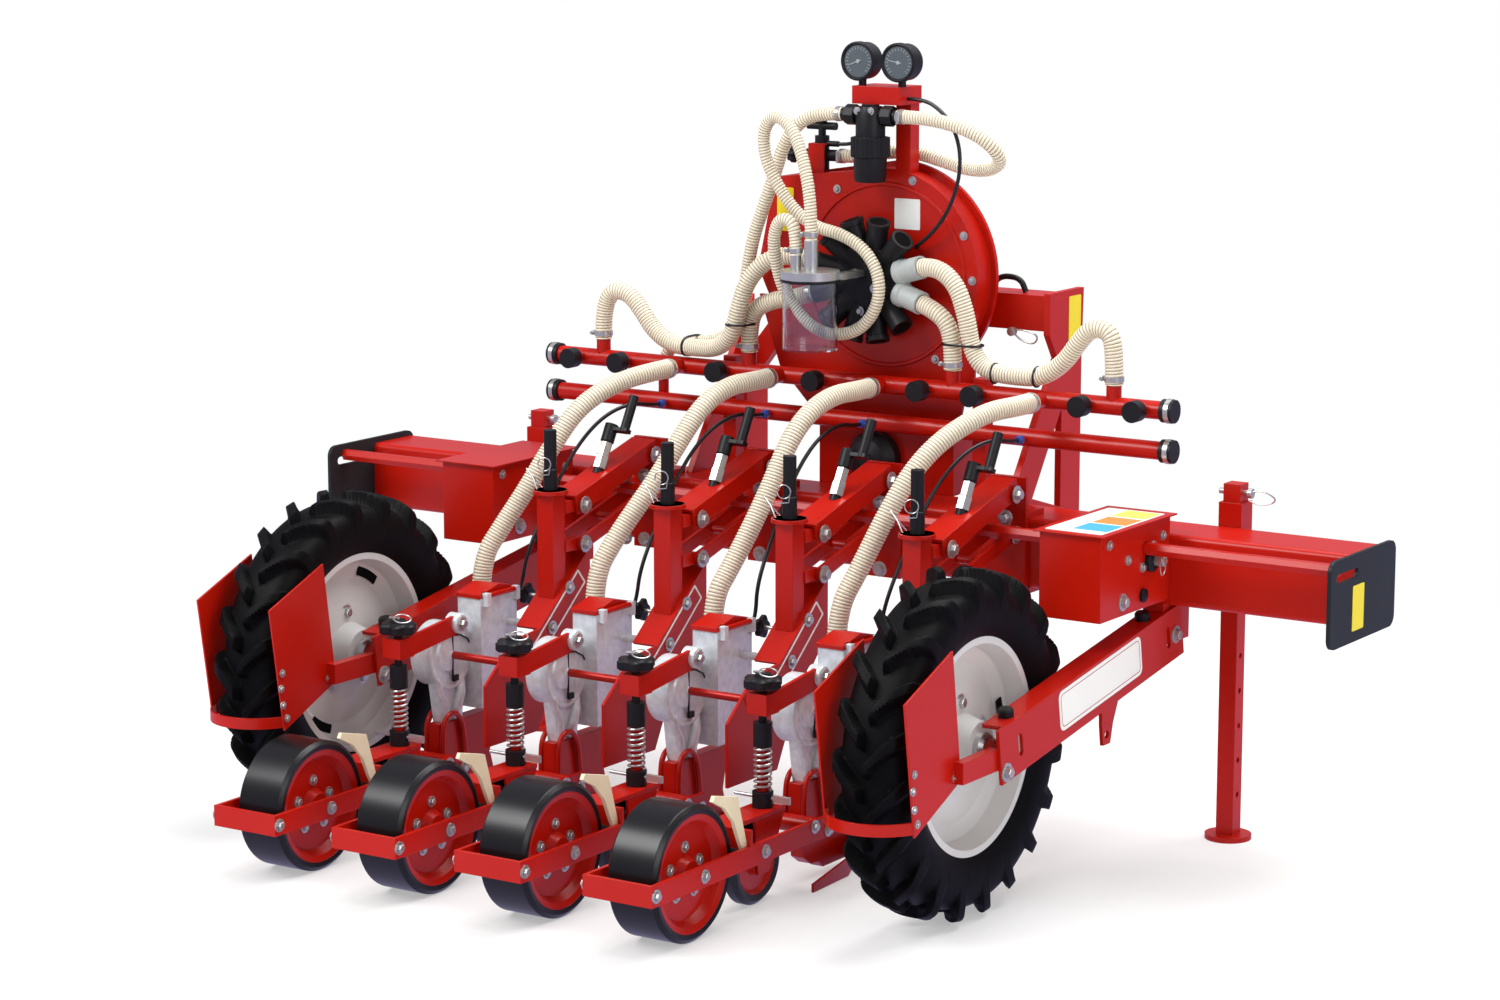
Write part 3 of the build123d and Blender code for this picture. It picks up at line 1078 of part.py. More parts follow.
# Fan: a scroll housing with its outlet to the left and a many-nozzled suction hub
def scroll_face(grow, y):
    """The scroll's outline, grown by a margin, on a plane across the machine."""
    right = FAN_RADIUS + grow
    tail = FAN_TAIL + grow
    top = (FAN_X, FAN_Z + right)
    bottom = (FAN_X, FAN_Z - right)
    mouth_low = (FAN_X - tail, FAN_Z)
    lower_left = (FAN_X - FAN_SWELL[0] * tail, FAN_Z - FAN_SWELL[1] * right)
    edges = [ThreePointArc(top, (FAN_X + right, FAN_Z), bottom), ThreePointArc(bottom, lower_left, mouth_low),
             Line(mouth_low, FAN_MOUTH), Line(FAN_MOUTH, top)]
    return Plane(origin=(0, y, 0), x_dir=(1, 0, 0), z_dir=(0, -1, 0)) * make_face(edges)


def fan_housing():
    lip_y = FAN_REAR_Y + FAN_DEPTH - FAN_LIP_THICK
    scroll = extrude(scroll_face(0, FAN_REAR_Y + FAN_DEPTH), FAN_DEPTH)
    scroll += extrude(scroll_face(FAN_LIP, lip_y + FAN_LIP_THICK / 2), FAN_LIP_THICK)
    throat_y = (FAN_REAR_Y + FAN_WALL, FAN_REAR_Y + FAN_DEPTH - FAN_WALL)
    throat_z = (FAN_Z + FAN_WALL, FAN_MOUTH[1] - 2 * FAN_LIP)
    scroll += cross_plate(FAN_APRON, (FAN_REAR_Y, FAN_REAR_Y + FAN_APRON_WALL))
    scroll -= block((FAN_X - 2 * FAN_TAIL, FAN_X - FAN_RADIUS), throat_y, throat_z)
    mount_y = (FAN_REAR_Y + FAN_DEPTH, TOP_BEAM_Y)
    mount_x = (FAN_X - FAN_MOUNT_HALF, FAN_X + FAN_MOUNT_HALF)
    return scroll + block(mount_x, mount_y, (TOP_BEAM_Z, TOP_BEAM_Z + TOP_BEAM_HEIGHT))


def nozzle_place(number):
    """Where a nozzle of the hub starts, with Z along the nozzle."""
    turn = NOZZLE_START + number * 360.0 / NOZZLE_COUNT
    return Pos(HUB_X, FAN_REAR_Y - HUB_CUP_DEPTH / 2, HUB_Z) * Rot(0, turn, 0) * Rot(NOZZLE_TILT, 0, 0)


def suction_hub():
    rear = FAN_REAR_Y - HUB_CUP_DEPTH
    hub = rod_y(HUB_CUP_RADIUS, HUB_X, (rear, FAN_REAR_Y), HUB_Z)
    for number in range(NOZZLE_COUNT):
        nozzle = Pos(0, 0, NOZZLE_REACH / 2) * Cylinder(NOZZLE_RADIUS, NOZZLE_REACH)
        hub += nozzle_place(number) * nozzle
    fan_y = (FAN_REAR_Y, FAN_REAR_Y + FAN_DEPTH)
    return hub - block((-MANIFOLD_HALF, MANIFOLD_HALF), fan_y, (BEAM_TOP_Z, GAUGE_Z))


add("fan_housing", [fan_housing()])
add("suction_hub", [suction_hub()])


# Fan drive under the fan, with the input shaft and its guard to the front
def front_guard():
    y = (DRIVE_Y[1], DRIVE_Y[1] + PTO_GUARD_LENGTH)
    guard = rod_y(PTO_GUARD_RADIUS, PTO_X, y, PTO_Z)
    return guard - rod_y(PTO_GUARD_RADIUS - PTO_GUARD_WALL, PTO_X, y, PTO_Z)


def rear_dome():
    y = DRIVE_Y[0]
    outline = [(DOME_RADIUS * wide, DOME_DEPTH * deep) for wide, deep in DOME_SHAPE]
    outline = [(0, 0), *outline, (0, DOME_DEPTH)]
    dome = revolve(Plane.XZ * make_face(Polyline(*outline, close=True)), Axis.Z)
    return Pos(PTO_X, y, PTO_Z) * Rot(90, 0, 0) * dome


add("fan_drive_housing", [block(DRIVE_X, DRIVE_Y, DRIVE_Z)])
add("pto_guards", [front_guard(), rear_dome()])
add("pto_shaft", [rod_y(PTO_RADIUS, PTO_X, (DRIVE_Y[1], DRIVE_Y[1] + PTO_LENGTH), PTO_Z)])


# Manifolds on two stays, with a row of capped ports to the rear
port_end_y = MANIFOLD_Y - MANIFOLD_RADIUS - PORT_LENGTH
pipe_port_end_y = MANIFOLD_Y - MANIFOLD_RADIUS - PIPE_PORT[1]
top_port_z = MANIFOLD_Z[1] + MANIFOLD_RADIUS + TOP_PORT_LENGTH
hose_ports = [share * MANIFOLD_HALF for share in HOSE_PORT_SHARES]
capped_ports = [share * MANIFOLD_HALF for share in CAPPED_PORT_SHARES]
top_ports = [share * MANIFOLD_HALF for share in TOP_PORT_SHARES]
pipe_ports = [share * MANIFOLD_HALF for share in PIPE_PORT_SHARES]
drain_x = DRAIN_SHARE * MANIFOLD_HALF


def manifold(z):
    return rod_x(MANIFOLD_RADIUS, (-MANIFOLD_HALF, MANIFOLD_HALF), MANIFOLD_Y, z)


def lower_manifold():
    z = MANIFOLD_Z[0]
    tube = manifold(z)
    for x in pipe_ports:
        tube += rod_y(PIPE_PORT[0], x, (pipe_port_end_y, MANIFOLD_Y), z)
    boss = (drain_x - DRAIN_RADIUS, drain_x + DRAIN_RADIUS)
    tube += block(boss, (MANIFOLD_Y, DRAIN_Y), DRAIN_BOSS_Z)
    return tube + rod_z(DRAIN_RADIUS, drain_x, DRAIN_Y, (DRAIN_BOSS_Z[0], DRAIN_TOP_Z))


def upper_manifold():
    z = MANIFOLD_Z[1]
    tube = manifold(z)
    for x in hose_ports + capped_ports:
        tube += rod_y(PORT_RADIUS, x, (port_end_y, MANIFOLD_Y), z)
    for x in top_ports:
        tube += rod_z(PORT_RADIUS, x, MANIFOLD_Y, (z, top_port_z))
    return tube


def port_cap(x):
    """A cap pushed over a rear port."""
    z = MANIFOLD_Z[1]
    cap = rod_y(CAP_RADIUS, x, (port_end_y - CAP_FLOOR, port_end_y - CAP_FLOOR + CAP_LENGTH), z)
    return cap - rod_y(PORT_RADIUS, x, (port_end_y, port_end_y + CAP_LENGTH), z)


def end_cap(side, z):
    """A cap pushed over an end of a manifold tube."""
    end = side * MANIFOLD_HALF
    outer = sorted((end + side * CAP_FLOOR, end + side * (CAP_FLOOR - CAP_LENGTH)))
    inner = sorted((end, end - side * CAP_LENGTH))
    return rod_x(END_CAP_RADIUS, outer, MANIFOLD_Y, z) - rod_x(MANIFOLD_RADIUS, inner, MANIFOLD_Y, z)


def manifold_stay(x):
    y = (MANIFOLD_Y + MANIFOLD_RADIUS, MANIFOLD_Y + MANIFOLD_RADIUS + STAY_SIZE)
    return block((x - STAY_SIZE / 2, x + STAY_SIZE / 2), y, (BEAM_TOP_Z, MANIFOLD_Z[1] + STAY_RISE))


add("manifolds", [lower_manifold(), upper_manifold()])
end_caps = [end_cap(side, z) for side in (-1, 1) for z in MANIFOLD_Z]
add("manifold_caps", [port_cap(x) for x in capped_ports] + end_caps)
add("manifold_stays", [manifold_stay(side * STAY_X) for side in (-1, 1)])


# Gauge mast on the fan, filter, relief valve and the clear jar
mast_y = (FAN_REAR_Y, FAN_REAR_Y + MAST_SIZE)


def gauge_mast():
    """A post on the fan's rim that carries the gauge box and the filter's seat."""
    x = (MAST_X - MAST_SIZE / 2, MAST_X + MAST_SIZE / 2)
    mast = block(x, mast_y, (FAN_Z + FAN_RADIUS - FAN_LIP, MAST_TOP_Z))
    mast += block(MAST_BOX, (FILTER_Y, mast_y[1]), (MAST_TOP_Z, MAST_TOP_Z + MAST_BOX_HEIGHT))
    return mast - extrude(scroll_face(0, FAN_REAR_Y + FAN_DEPTH), FAN_DEPTH)


def gauge(x):
    y = (FILTER_Y + GAUGE_SETBACK, FILTER_Y + GAUGE_SETBACK + GAUGE_DEPTH)
    stem_x = min(max(x, MAST_BOX[0] + GAUGE_STEM_RADIUS), MAST_BOX[1] - GAUGE_STEM_RADIUS)
    stem = rod_z(GAUGE_STEM_RADIUS, stem_x, (y[0] + y[1]) / 2, (MAST_TOP_Z + MAST_BOX_HEIGHT, GAUGE_Z))
    return stem + rod_y(GAUGE_RADIUS, x, y, GAUGE_Z)


def air_filter():
    """A tee with a bowl below, hung under the gauge box."""
    ports = (FILTER_X - FILTER_HALF, FILTER_X + FILTER_HALF)
    tee = rod_x(FILTER_PORT_RADIUS, ports, FILTER_Y, FILTER_Z)
    tee += rod_z(TEE_RADIUS, FILTER_X, FILTER_Y, (FILTER_Z - TEE_DROP, MAST_TOP_Z))
    return tee + rod_z(BOWL_RADIUS, FILTER_X, FILTER_Y, (BOWL_LOW_Z, FILTER_Z - BOWL_DROP))


def relief_valve():
    """A valve on top of the scroll with a cross handle and a side knob."""
    radius, left, right = VALVE_SIDE
    pipe_radius, reach, drop = VALVE_PIPE
    bar, half = VALVE_HANDLE
    valve = rod_z(VALVE_RADIUS, VALVE_X, VALVE_Y, (FAN_Z, VALVE_TOP_Z - VALVE_HEAD))
    valve += rod_x(radius, (VALVE_X - left, VALVE_X + right), VALVE_Y, VALVE_TOP_Z - VALVE_SIDE_DROP)
    valve += rod_x(pipe_radius, (VALVE_X, VALVE_X + VALVE_RADIUS + reach), VALVE_Y, VALVE_TOP_Z - drop)
    valve += rod_x(bar, (VALVE_X - half, VALVE_X + half), VALVE_Y, VALVE_TOP_Z)
    valve += rod_z(bar, VALVE_X, VALVE_Y, (VALVE_TOP_Z - VALVE_HEAD, VALVE_TOP_Z))
    rim = extrude(scroll_face(FAN_LIP, FAN_REAR_Y + 2 * FAN_DEPTH), 3 * FAN_DEPTH)
    return valve - rim


def jar():
    """A clear jar, open under its lid."""
    shell = rod_z(JAR_RADIUS, JAR_X, JAR_Y, (JAR_LOW_Z, JAR_HIGH_Z))
    return shell - rod_z(JAR_RADIUS - JAR_WALL, JAR_X, JAR_Y, (JAR_LOW_Z + JAR_WALL, JAR_HIGH_Z))


def jar_lid():
    """The jar's lid, with the pipe fitting on top and the arm that holds it to the hub."""
    lid = rod_z(JAR_LID_RADIUS, JAR_X, JAR_Y, (JAR_HIGH_Z, JAR_HIGH_Z + JAR_LID_HEIGHT))
    for x, radius, top in JAR_FITTINGS:
        lid += rod_z(radius, x, JAR_Y, (JAR_HIGH_Z, top))
    arm_y = (JAR_Y + JAR_ARM_START, FAN_REAR_Y - HUB_CUP_DEPTH)
    return lid + block(JAR_ARM_X, arm_y, (JAR_HIGH_Z, JAR_HIGH_Z + JAR_ARM_HEIGHT))


add("gauge_mast", [gauge_mast()])
add("gauges", [gauge(x) for x in GAUGE_X])
add("air_fittings", [air_filter(), relief_valve()])
add("jar", [jar()])
add("jar_lid", [jar_lid()])

# Hoses: from the manifold to each meter, from the fan to the manifold, and those of the filter and the jar
def seed_hose(port, seed, heights):
    """Leaves the port to the rear, bends over in plan and drops on the meter's stub."""
    end = (seed + STUB_X, STUB_Y)
    points = [(port, port_end_y, MANIFOLD_Z[1]), (port, port_end_y - SEED_HOSE_LEAD, MANIFOLD_Z[1])]
    for share, height in zip(SEED_HOSE_SHARES, heights):
        rest = 1 - share
        x = (rest * rest + 2 * share * rest) * port + share * share * end[0]
        bow_y = port_end_y - SEED_HOSE_BOW
        y = rest * rest * port_end_y + 2 * share * rest * bow_y + share * share * end[1]
        points.append((x, y, height))
    points += [(*end, heights[-1]), (*end, STUB_TOP_Z)]
    return hose(points, SEED_HOSE)


def fan_hose(nozzle, port, corner_z, between):
    """From the tip of a nozzle on the hub to a top port of the manifold."""
    tip = nozzle_place(nozzle) * Pos(0, 0, NOZZLE_REACH)
    lead = tip * Pos(0, 0, NOZZLE_LEAD)
    end = (top_ports[port], MANIFOLD_Y)
    points = [tuple(tip.position), tuple(lead.position), *between, (*end, corner_z), (*end, top_port_z)]
    return hose(points, FAN_HOSE)


def meter_pipe(port, seed):
    """A thin pipe from the lower manifold to the front wall of a hopper."""
    end = (seed + PIPE_STUB_X, HOPPER_FRONT_Y + PIPE_STUB[1])
    start_y = pipe_port_end_y
    points = [(port, start_y, MANIFOLD_Z[0]), (port, start_y - METER_PIPE_LEAD, MANIFOLD_Z[0])]
    for share, height in METER_PIPE_SHARES:
        points.append((port + share * (end[0] - port), start_y + share * (end[1] - start_y), height))
    ahead, height = METER_PIPE_DROP
    points.append((end[0], end[1] + ahead, height))
    points += [(end[0], end[1] + ahead / 2, PIPE_STUB_Z), (*end, PIPE_STUB_Z)]
    return hose(points, AIR_PIPE)


filter_left = (FILTER_X - FILTER_HALF, FILTER_Y, FILTER_Z)
filter_right = (FILTER_X + FILTER_HALF, FILTER_Y, FILTER_Z)
drain = [(drain_x, DRAIN_Y, DRAIN_TOP_Z + FILTER_HOSE_DROP), (drain_x, DRAIN_Y, DRAIN_TOP_Z)]
valve_side = (VALVE_X + VALVE_SIDE[2], VALVE_Y, VALVE_TOP_Z - VALVE_SIDE_DROP)
jar_tops = zip(JAR_FITTINGS, JAR_HOSE_RISE)
jar_ends = [((x, JAR_Y, top), (x, JAR_Y, top + rise)) for (x, radius, top), rise in jar_tops]
service_hoses = [hose([filter_left, *FILTER_HOSE_LEFT, *drain], SERVICE_HOSE),
                 hose([filter_right, *FILTER_HOSE_RIGHT, valve_side], SERVICE_HOSE),
                 hose([*jar_ends[0], *JAR_HOSE_ROUTE, *jar_ends[1][::-1]], JAR_HOSE)]
thin_pipes = [hose(GAUGE_PIPE, AIR_PIPE), hose(VALVE_PIPE_ROUTE, AIR_PIPE)]
thin_pipes += [meter_pipe(port, seed) for port, seed in zip(pipe_ports, seed_lines)]
add("seed_hoses", [seed_hose(*row) for row in zip(hose_ports, seed_lines, SEED_HOSE_HEIGHTS)])
add("fan_hoses", [fan_hose(*route) for route in FAN_HOSE_ROUTES])
add("service_hoses", service_hoses)
add("air_pipes", thin_pipes)

os.makedirs("parts", exist_ok=True)
for name, shape in nodes.items():
    export_step(shape, "parts/%s.step" % name)
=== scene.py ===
"""Row-crop precision planter: finishes, tyres, hoses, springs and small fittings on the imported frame."""
import json
import bmesh
import bpy
import numpy as np
from mathutils import Matrix


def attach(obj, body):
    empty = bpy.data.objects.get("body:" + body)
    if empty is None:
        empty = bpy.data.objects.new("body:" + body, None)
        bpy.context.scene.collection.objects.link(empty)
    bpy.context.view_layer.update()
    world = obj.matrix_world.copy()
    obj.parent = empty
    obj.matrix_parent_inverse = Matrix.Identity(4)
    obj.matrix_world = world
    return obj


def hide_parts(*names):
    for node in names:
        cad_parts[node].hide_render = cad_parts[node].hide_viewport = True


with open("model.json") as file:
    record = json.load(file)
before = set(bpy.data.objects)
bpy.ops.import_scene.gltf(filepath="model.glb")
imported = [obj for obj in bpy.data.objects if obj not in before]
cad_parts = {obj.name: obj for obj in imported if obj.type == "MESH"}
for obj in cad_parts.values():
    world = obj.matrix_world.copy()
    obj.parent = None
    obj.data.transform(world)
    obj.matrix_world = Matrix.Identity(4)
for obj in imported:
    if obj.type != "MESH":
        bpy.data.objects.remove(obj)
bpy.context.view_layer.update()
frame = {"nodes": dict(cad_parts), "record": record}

# Toolbar, row units, arms and hitch: welded tube and plate, sprayed with glossy signal-red enamel.
# The film rounds every edge a little and dries with a faint orange peel that breaks up reflections.
ENAMEL_RED = "#bb1604"
ENAMEL_DEEP = "#a91103"
ENAMEL_CLOUD = 0.35       # metres between lighter and deeper patches of the film
PEEL_GRAIN = 0.006        # drawn coarser than the real peel, which would not show
PEEL_DEPTH = 0.00003
FILM_EDGE = 0.0018


def linear(colour):
    """sRGB hex to linear: c / 12.92 for dark values, otherwise ((c + 0.055) / 1.055) to the power 2.4."""
    values = np.array([int(colour[place:place + 2], 16) for place in (1, 3, 5)]) / 255.0
    values = np.where(values <= 0.04045, values / 12.92, ((values + 0.055) / 1.055) ** 2.4)
    return (*values.tolist(), 1.0)


def add_node(tree, kind, inputs=None, **settings):
    """Adds a node with its settings; each input is a value, or an output socket to link."""
    made = tree.nodes.new(kind)
    for name, value in settings.items():
        setattr(made, name, value)
    for name, value in (inputs or {}).items():
        if isinstance(value, bpy.types.NodeSocket):
            tree.links.new(value, made.inputs[name])
        else:
            made.inputs[name].default_value = value
    return made


def new_finish(name, inputs):
    """A material of one Principled shader; gives it with its tree, shader and coordinates."""
    material = bpy.data.materials.new(name)
    material.use_nodes = True
    tree = material.node_tree
    tree.nodes.clear()
    shader = add_node(tree, "ShaderNodeBsdfPrincipled", inputs)
    add_node(tree, "ShaderNodeOutputMaterial", {"Surface": shader.outputs["BSDF"]})
    place = add_node(tree, "ShaderNodeTexCoord").outputs["Object"]
    return material, tree, shader, place


def clouded(tree, place, spacing, first, second, detail=4.0):
    """Two colours mixed by noise whose patches lie a spacing apart."""
    noise = add_node(tree, "ShaderNodeTexNoise", {"Vector": place, "Scale": 1 / spacing, "Detail": detail})
    mix = add_node(tree, "ShaderNodeMixRGB", {"Fac": noise.outputs["Fac"], "Color1": linear(first),
                                              "Color2": linear(second)})
    return mix.outputs["Color"]


def grained(tree, place, spacing, depth, edge):
    """A normal with rounded edges and noise bumps a spacing apart."""
    noise = add_node(tree, "ShaderNodeTexNoise", {"Vector": place, "Scale": 1 / spacing, "Detail": 3.0})
    soft = add_node(tree, "ShaderNodeBevel", {"Radius": edge}, samples=6)
    bump = add_node(tree, "ShaderNodeBump", {"Height": noise.outputs["Fac"], "Strength": 1.0,
                                             "Distance": depth, "Normal": soft.outputs["Normal"]})
    return bump.outputs["Normal"]


def link(tree, shader, **outputs):
    """Links output sockets to the shader's inputs."""
    for name, output in outputs.items():
        tree.links.new(output, shader.inputs[name.replace("_", " ")])


def finish(name, inputs, cloud, grain=None):
    """A material with a clouded colour, and with a grained surface where a grain is given."""
    material, tree, shader, place = new_finish(name, inputs)
    link(tree, shader, Base_Color=clouded(tree, place, *cloud))
    if grain:
        link(tree, shader, Normal=grained(tree, place, *grain))
    return material


def dress(material, *nodes):
    """Gives CAD nodes one material."""
    for name in nodes:
        mesh = frame["nodes"][name].data
        mesh.materials.clear()
        mesh.materials.append(material)


def nodes_of(*slots):
    """Names of the CAD nodes to which the record gives one of these material slots."""
    return [part["node"] for part in frame["record"]["subparts"] if part["material_slot"] in slots]


red_enamel = finish("red_enamel", {"Roughness": 0.3, "Specular IOR Level": 0.3},
                    (ENAMEL_CLOUD, ENAMEL_RED, ENAMEL_DEEP), (PEEL_GRAIN, PEEL_DEPTH, FILM_EDGE))
dress(red_enamel, *nodes_of("red_paint", "disc_paint"))

# End plates: folded sheet steel in satin black, bolted over the ends of the toolbar.
# The satin film is even, so only its broad soft reflections and rounded edges show.
black_satin = finish("black_satin_paint", {"Roughness": 0.42, "Specular IOR Level": 0.2},
                     (0.2, "#1b2022", "#23292b"), (0.004, 0.00002, 0.002))
dress(black_satin, "toolbar_end_plates")

# Handles, caps, knobs, guards, hub and filter: moulded black nylon and polypropylene.
# The moulds are lightly spark-textured, which gives a grey bloom with no sharp reflection.
black_plastic = finish("black_moulded_plastic", {"Roughness": 0.45, "Specular IOR Level": 0.3},
                       (0.05, "#101114", "#18191c"), (0.0016, 0.00004, 0.0015))
dress(black_plastic, *nodes_of("black_plastic"))

# Fasteners, springs and fittings: steel with bright zinc plate.
# The plate is a fine crystalline layer, so it is pale, slightly blotched and only half sharp.
zinc_plate = finish("bright_zinc_plate", {"Metallic": 0.8, "Roughness": 0.3},
                    (0.02, "#d2d2cd", "#b6b8b6"), (0.003, 0.00003, 0.0006))
dress(zinc_plate, *nodes_of("zinc"))

# Seed meters: sand castings of aluminium, shot-blasted and left bare.
# The blasted skin is matt and finely pitted, with a slow change of grey over each casting.
# The shaft that leaves each disc's middle for the unit's web is red, found by its place beside the meter.
UNIT_PITCH = 0.2863
UNIT_COUNT = 4
SEED_OFF = -0.130         # from a unit's middle to its seed line
unit_x = [(number - (UNIT_COUNT - 1) / 2) * UNIT_PITCH for number in range(UNIT_COUNT)]
seed_x = [x + SEED_OFF for x in unit_x]
DISC_CENTRE = (-0.165, 0.333)
SHAFT_START = 0.0225      # from the seed line to where the shaft leaves the casting
SHAFT_ROOM = 0.012
CAST_MOTTLE = (0.014, "#f6fafd", "#b8c0c6", 8.0)
CAST_GRAIN = (0.0022, 0.00012, 0.003)
cast_aluminium, tree, shader, place = new_finish("cast_aluminium", {"Metallic": 0.3, "Roughness": 0.32})
parted = add_node(tree, "ShaderNodeSeparateXYZ", {"Vector": place}).outputs
off = add_node(tree, "ShaderNodeMath", {0: parted["X"], 1: seed_x[0]}, operation="SUBTRACT").outputs[0]
off = add_node(tree, "ShaderNodeMath", {0: off, 1: UNIT_PITCH}, operation="FLOORED_MODULO").outputs[0]
tests = (
    ("GREATER_THAN", {0: off, 1: SHAFT_START}),
    ("LESS_THAN", {0: off, 1: UNIT_PITCH / 2}),
    ("COMPARE", {0: parted["Y"], 1: DISC_CENTRE[0], 2: SHAFT_ROOM}),
    ("COMPARE", {0: parted["Z"], 1: DISC_CENTRE[1], 2: SHAFT_ROOM}),
)
on_shaft = 1.0
for operation, inputs in tests:
    test = add_node(tree, "ShaderNodeMath", inputs, operation=operation).outputs[0]
    on_shaft = add_node(tree, "ShaderNodeMath", {0: on_shaft, 1: test}, operation="MULTIPLY").outputs[0]
casting = clouded(tree, place, *CAST_MOTTLE)
shaded = add_node(tree, "ShaderNodeMixRGB", {"Fac": on_shaft, "Color1": casting,
                                             "Color2": linear(ENAMEL_DEEP)})
link(tree, shader, Base_Color=shaded.outputs["Color"], Normal=grained(tree, place, *CAST_GRAIN))
dress(cast_aluminium, "meter_housings")

# Row units: bolts at the linkage pivots, on the toolbar clamps and on the sloping webs.
# Zinc-plated hexagon heads stand on plain washers; the pivots have them on both sides of each unit.
RIGHT, LEFT = (1, 0, 0), (-1, 0, 0)
AHEAD, REAR = (0, 1, 0), (0, -1, 0)
UP = (0, 0, 1)
PIVOTS = ((0.088, 0.615), (0.338, 0.683), (0.088, 0.535), (0.338, 0.603))
PIVOT_BOLT = 0.018        # sizes of heads across their flats
CLAMP_BOLT = 0.016
WEB_BOLT = 0.014
LINK_FACE = 0.036         # from a unit's middle to the outside of its links
CLAMP_REAR = 0.316
CLAMP_BOLTS = [(side * 0.024, z) for side in (-1, 1) for z in (0.506, 0.640)]
WEB_FACE = 0.030
WEB_BOLTS = (DISC_CENTRE, (-0.020, 0.380), (0.040, 0.452))


def across(direction):
    """A unit vector and two more square to it."""
    along = np.asarray(direction, float) / np.linalg.norm(direction)
    side = np.cross(along, UP if abs(along[2]) < 0.9 else AHEAD)
    side /= np.linalg.norm(side)
    return along, side, np.cross(along, side)


def quads(rows, columns, rows_close=False, columns_close=False):
    """Faces of a grid of points numbered row by row; a way that closes joins its last line to its first."""
    row = np.arange(rows if rows_close else rows - 1)
    column = np.arange(columns if columns_close else columns - 1)
    row, column = (line.ravel() for line in np.meshgrid(row, column, indexing="ij"))
    next_row = (row + 1) % rows
    next_column = (column + 1) % columns
    corners = [row * columns + column, row * columns + next_column,
               next_row * columns + next_column, next_row * columns + column]
    return np.stack(corners, 1).tolist()


def turns(count):
    """Angles that share a full turn evenly."""
    return np.arange(count) * 2 * np.pi / count


def turned(profile, centre, axis, steps=32, wave=None):
    """A (radius, height) profile turned on an axis: centre + h along + r wave(a) (cos a side + sin a up)."""
    along, side, up = across(axis)
    radius, height = np.array(profile, float).T
    angle = turns(steps)
    ring = np.cos(angle)[:, None] * side + np.sin(angle)[:, None] * up
    if wave:
        ring = ring * wave(angle)[:, None]
    points = radius[:, None, None] * ring[None] + height[:, None, None] * along + np.asarray(centre)
    return points.reshape(-1, 3), quads(len(radius), steps, columns_close=True)


def hang(mesh, material, body="frame", crease=35):
    """Makes a mesh a smooth object with creases, gives it a material and hangs it on a body."""
    mesh.polygons.foreach_set("use_smooth", np.ones(len(mesh.polygons), bool))
    mesh.set_sharp_from_angle(angle=np.radians(crease))
    mesh.materials.append(material)
    made = bpy.data.objects.new(mesh.name, mesh)
    bpy.context.collection.objects.link(made)
    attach(made, body)
    return made


def piece(name, parts, material, body="frame", crease=35):
    """Joins (points, faces) parts into one mesh, merges poles and seams, and hangs it."""
    points = []
    faces = []
    for part_points, part_faces in parts:
        faces += [[corner + len(points) for corner in face] for face in part_faces]
        points += np.asarray(part_points).tolist()
    mesh = bpy.data.meshes.new(name)
    mesh.from_pydata(points, [], faces)
    work = bmesh.new()
    work.from_mesh(mesh)
    bmesh.ops.remove_doubles(work, verts=work.verts, dist=1e-6)
    bmesh.ops.recalc_face_normals(work, faces=work.faces)
    work.to_mesh(mesh)
    work.free()
    return hang(mesh, material, body, crease)


def bolt(centre, axis, size):
    """A hexagon head on a washer; the other sizes are shares of its size across the flats."""
    washer = turned([(size, 0), (size, 0.0022), (0.6 * size, 0.0024)], centre, axis, 12)
    rim = 0.68 * size
    profile = [(0.6 * size, 0.002), (0.58 * size, 0.6 * size), (0.48 * size, rim), (0, rim)]
    head = turned(profile, centre, axis, 6)
    return [washer, head]


def bolts(name, places, axis, size, body="frame"):
    """Like bolts in one piece, all along one axis."""
    parts = [part for centre in places for part in bolt(centre, axis, size)]
    return piece(name, parts, zinc_plate, body, 20)


bolts("pivot_bolts_right", [(x + LINK_FACE, *pivot) for x in unit_x for pivot in PIVOTS], RIGHT, PIVOT_BOLT)
bolts("pivot_bolts_left", [(x - LINK_FACE, *pivot) for x in unit_x for pivot in PIVOTS], LEFT, PIVOT_BOLT)
bolts("clamp_bolts", [(x + off, CLAMP_REAR, z) for x in unit_x for off, z in CLAMP_BOLTS], REAR, CLAMP_BOLT)
bolts("web_bolts", [(x + WEB_FACE, *place) for x in unit_x for place in WEB_BOLTS], RIGHT, WEB_BOLT)

# Lift cranks and post handles: hexagon couplings on the cranks, sleeves and R-clips of wire on the handles.
# Couplings and clips are zinc-plated; a thin ring lies on each post's cap.
CRANK_FOOT = (0.1862, 0.6687)
CRANK_WAY = (0, 0.4848, 0.8746)
COUPLING = ((0, 0.003), (0.0146, 0.003), (0.0146, 0.030), (0.0130, 0.032), (0.0130, 0.060), (0, 0.060))
POST_HEAD = (0.020, 0.650)
SLEEVE = ((0, 0), (0.0145, 0), (0.0145, 0.044), (0.011, 0.048), (0, 0.048))
CAP_RING = ((0.012, 0), (0.033, 0), (0.033, 0.003), (0.012, 0.003))
CLIP_WIRE = 0.0013        # the clip's places are taken from the post's head
CLIP_EYE, CLIP_EYE_WAY, CLIP_EYE_RADIUS = (-0.004, -0.015, 0.056), (0.3, -1, 0), 0.0135
CLIP_LEG = ((0.010, -0.015, 0.052), (0.008, -0.016, 0.036), (-0.016, -0.016, 0.032))
BAIL_WIRE = 0.0014
BAIL = ((-0.026, -0.010, 0.002), (-0.042, -0.004, 0.024), (-0.060, 0, 0.040), (-0.060, 0.004, 0.036),
        (-0.030, 0.012, 0.002))


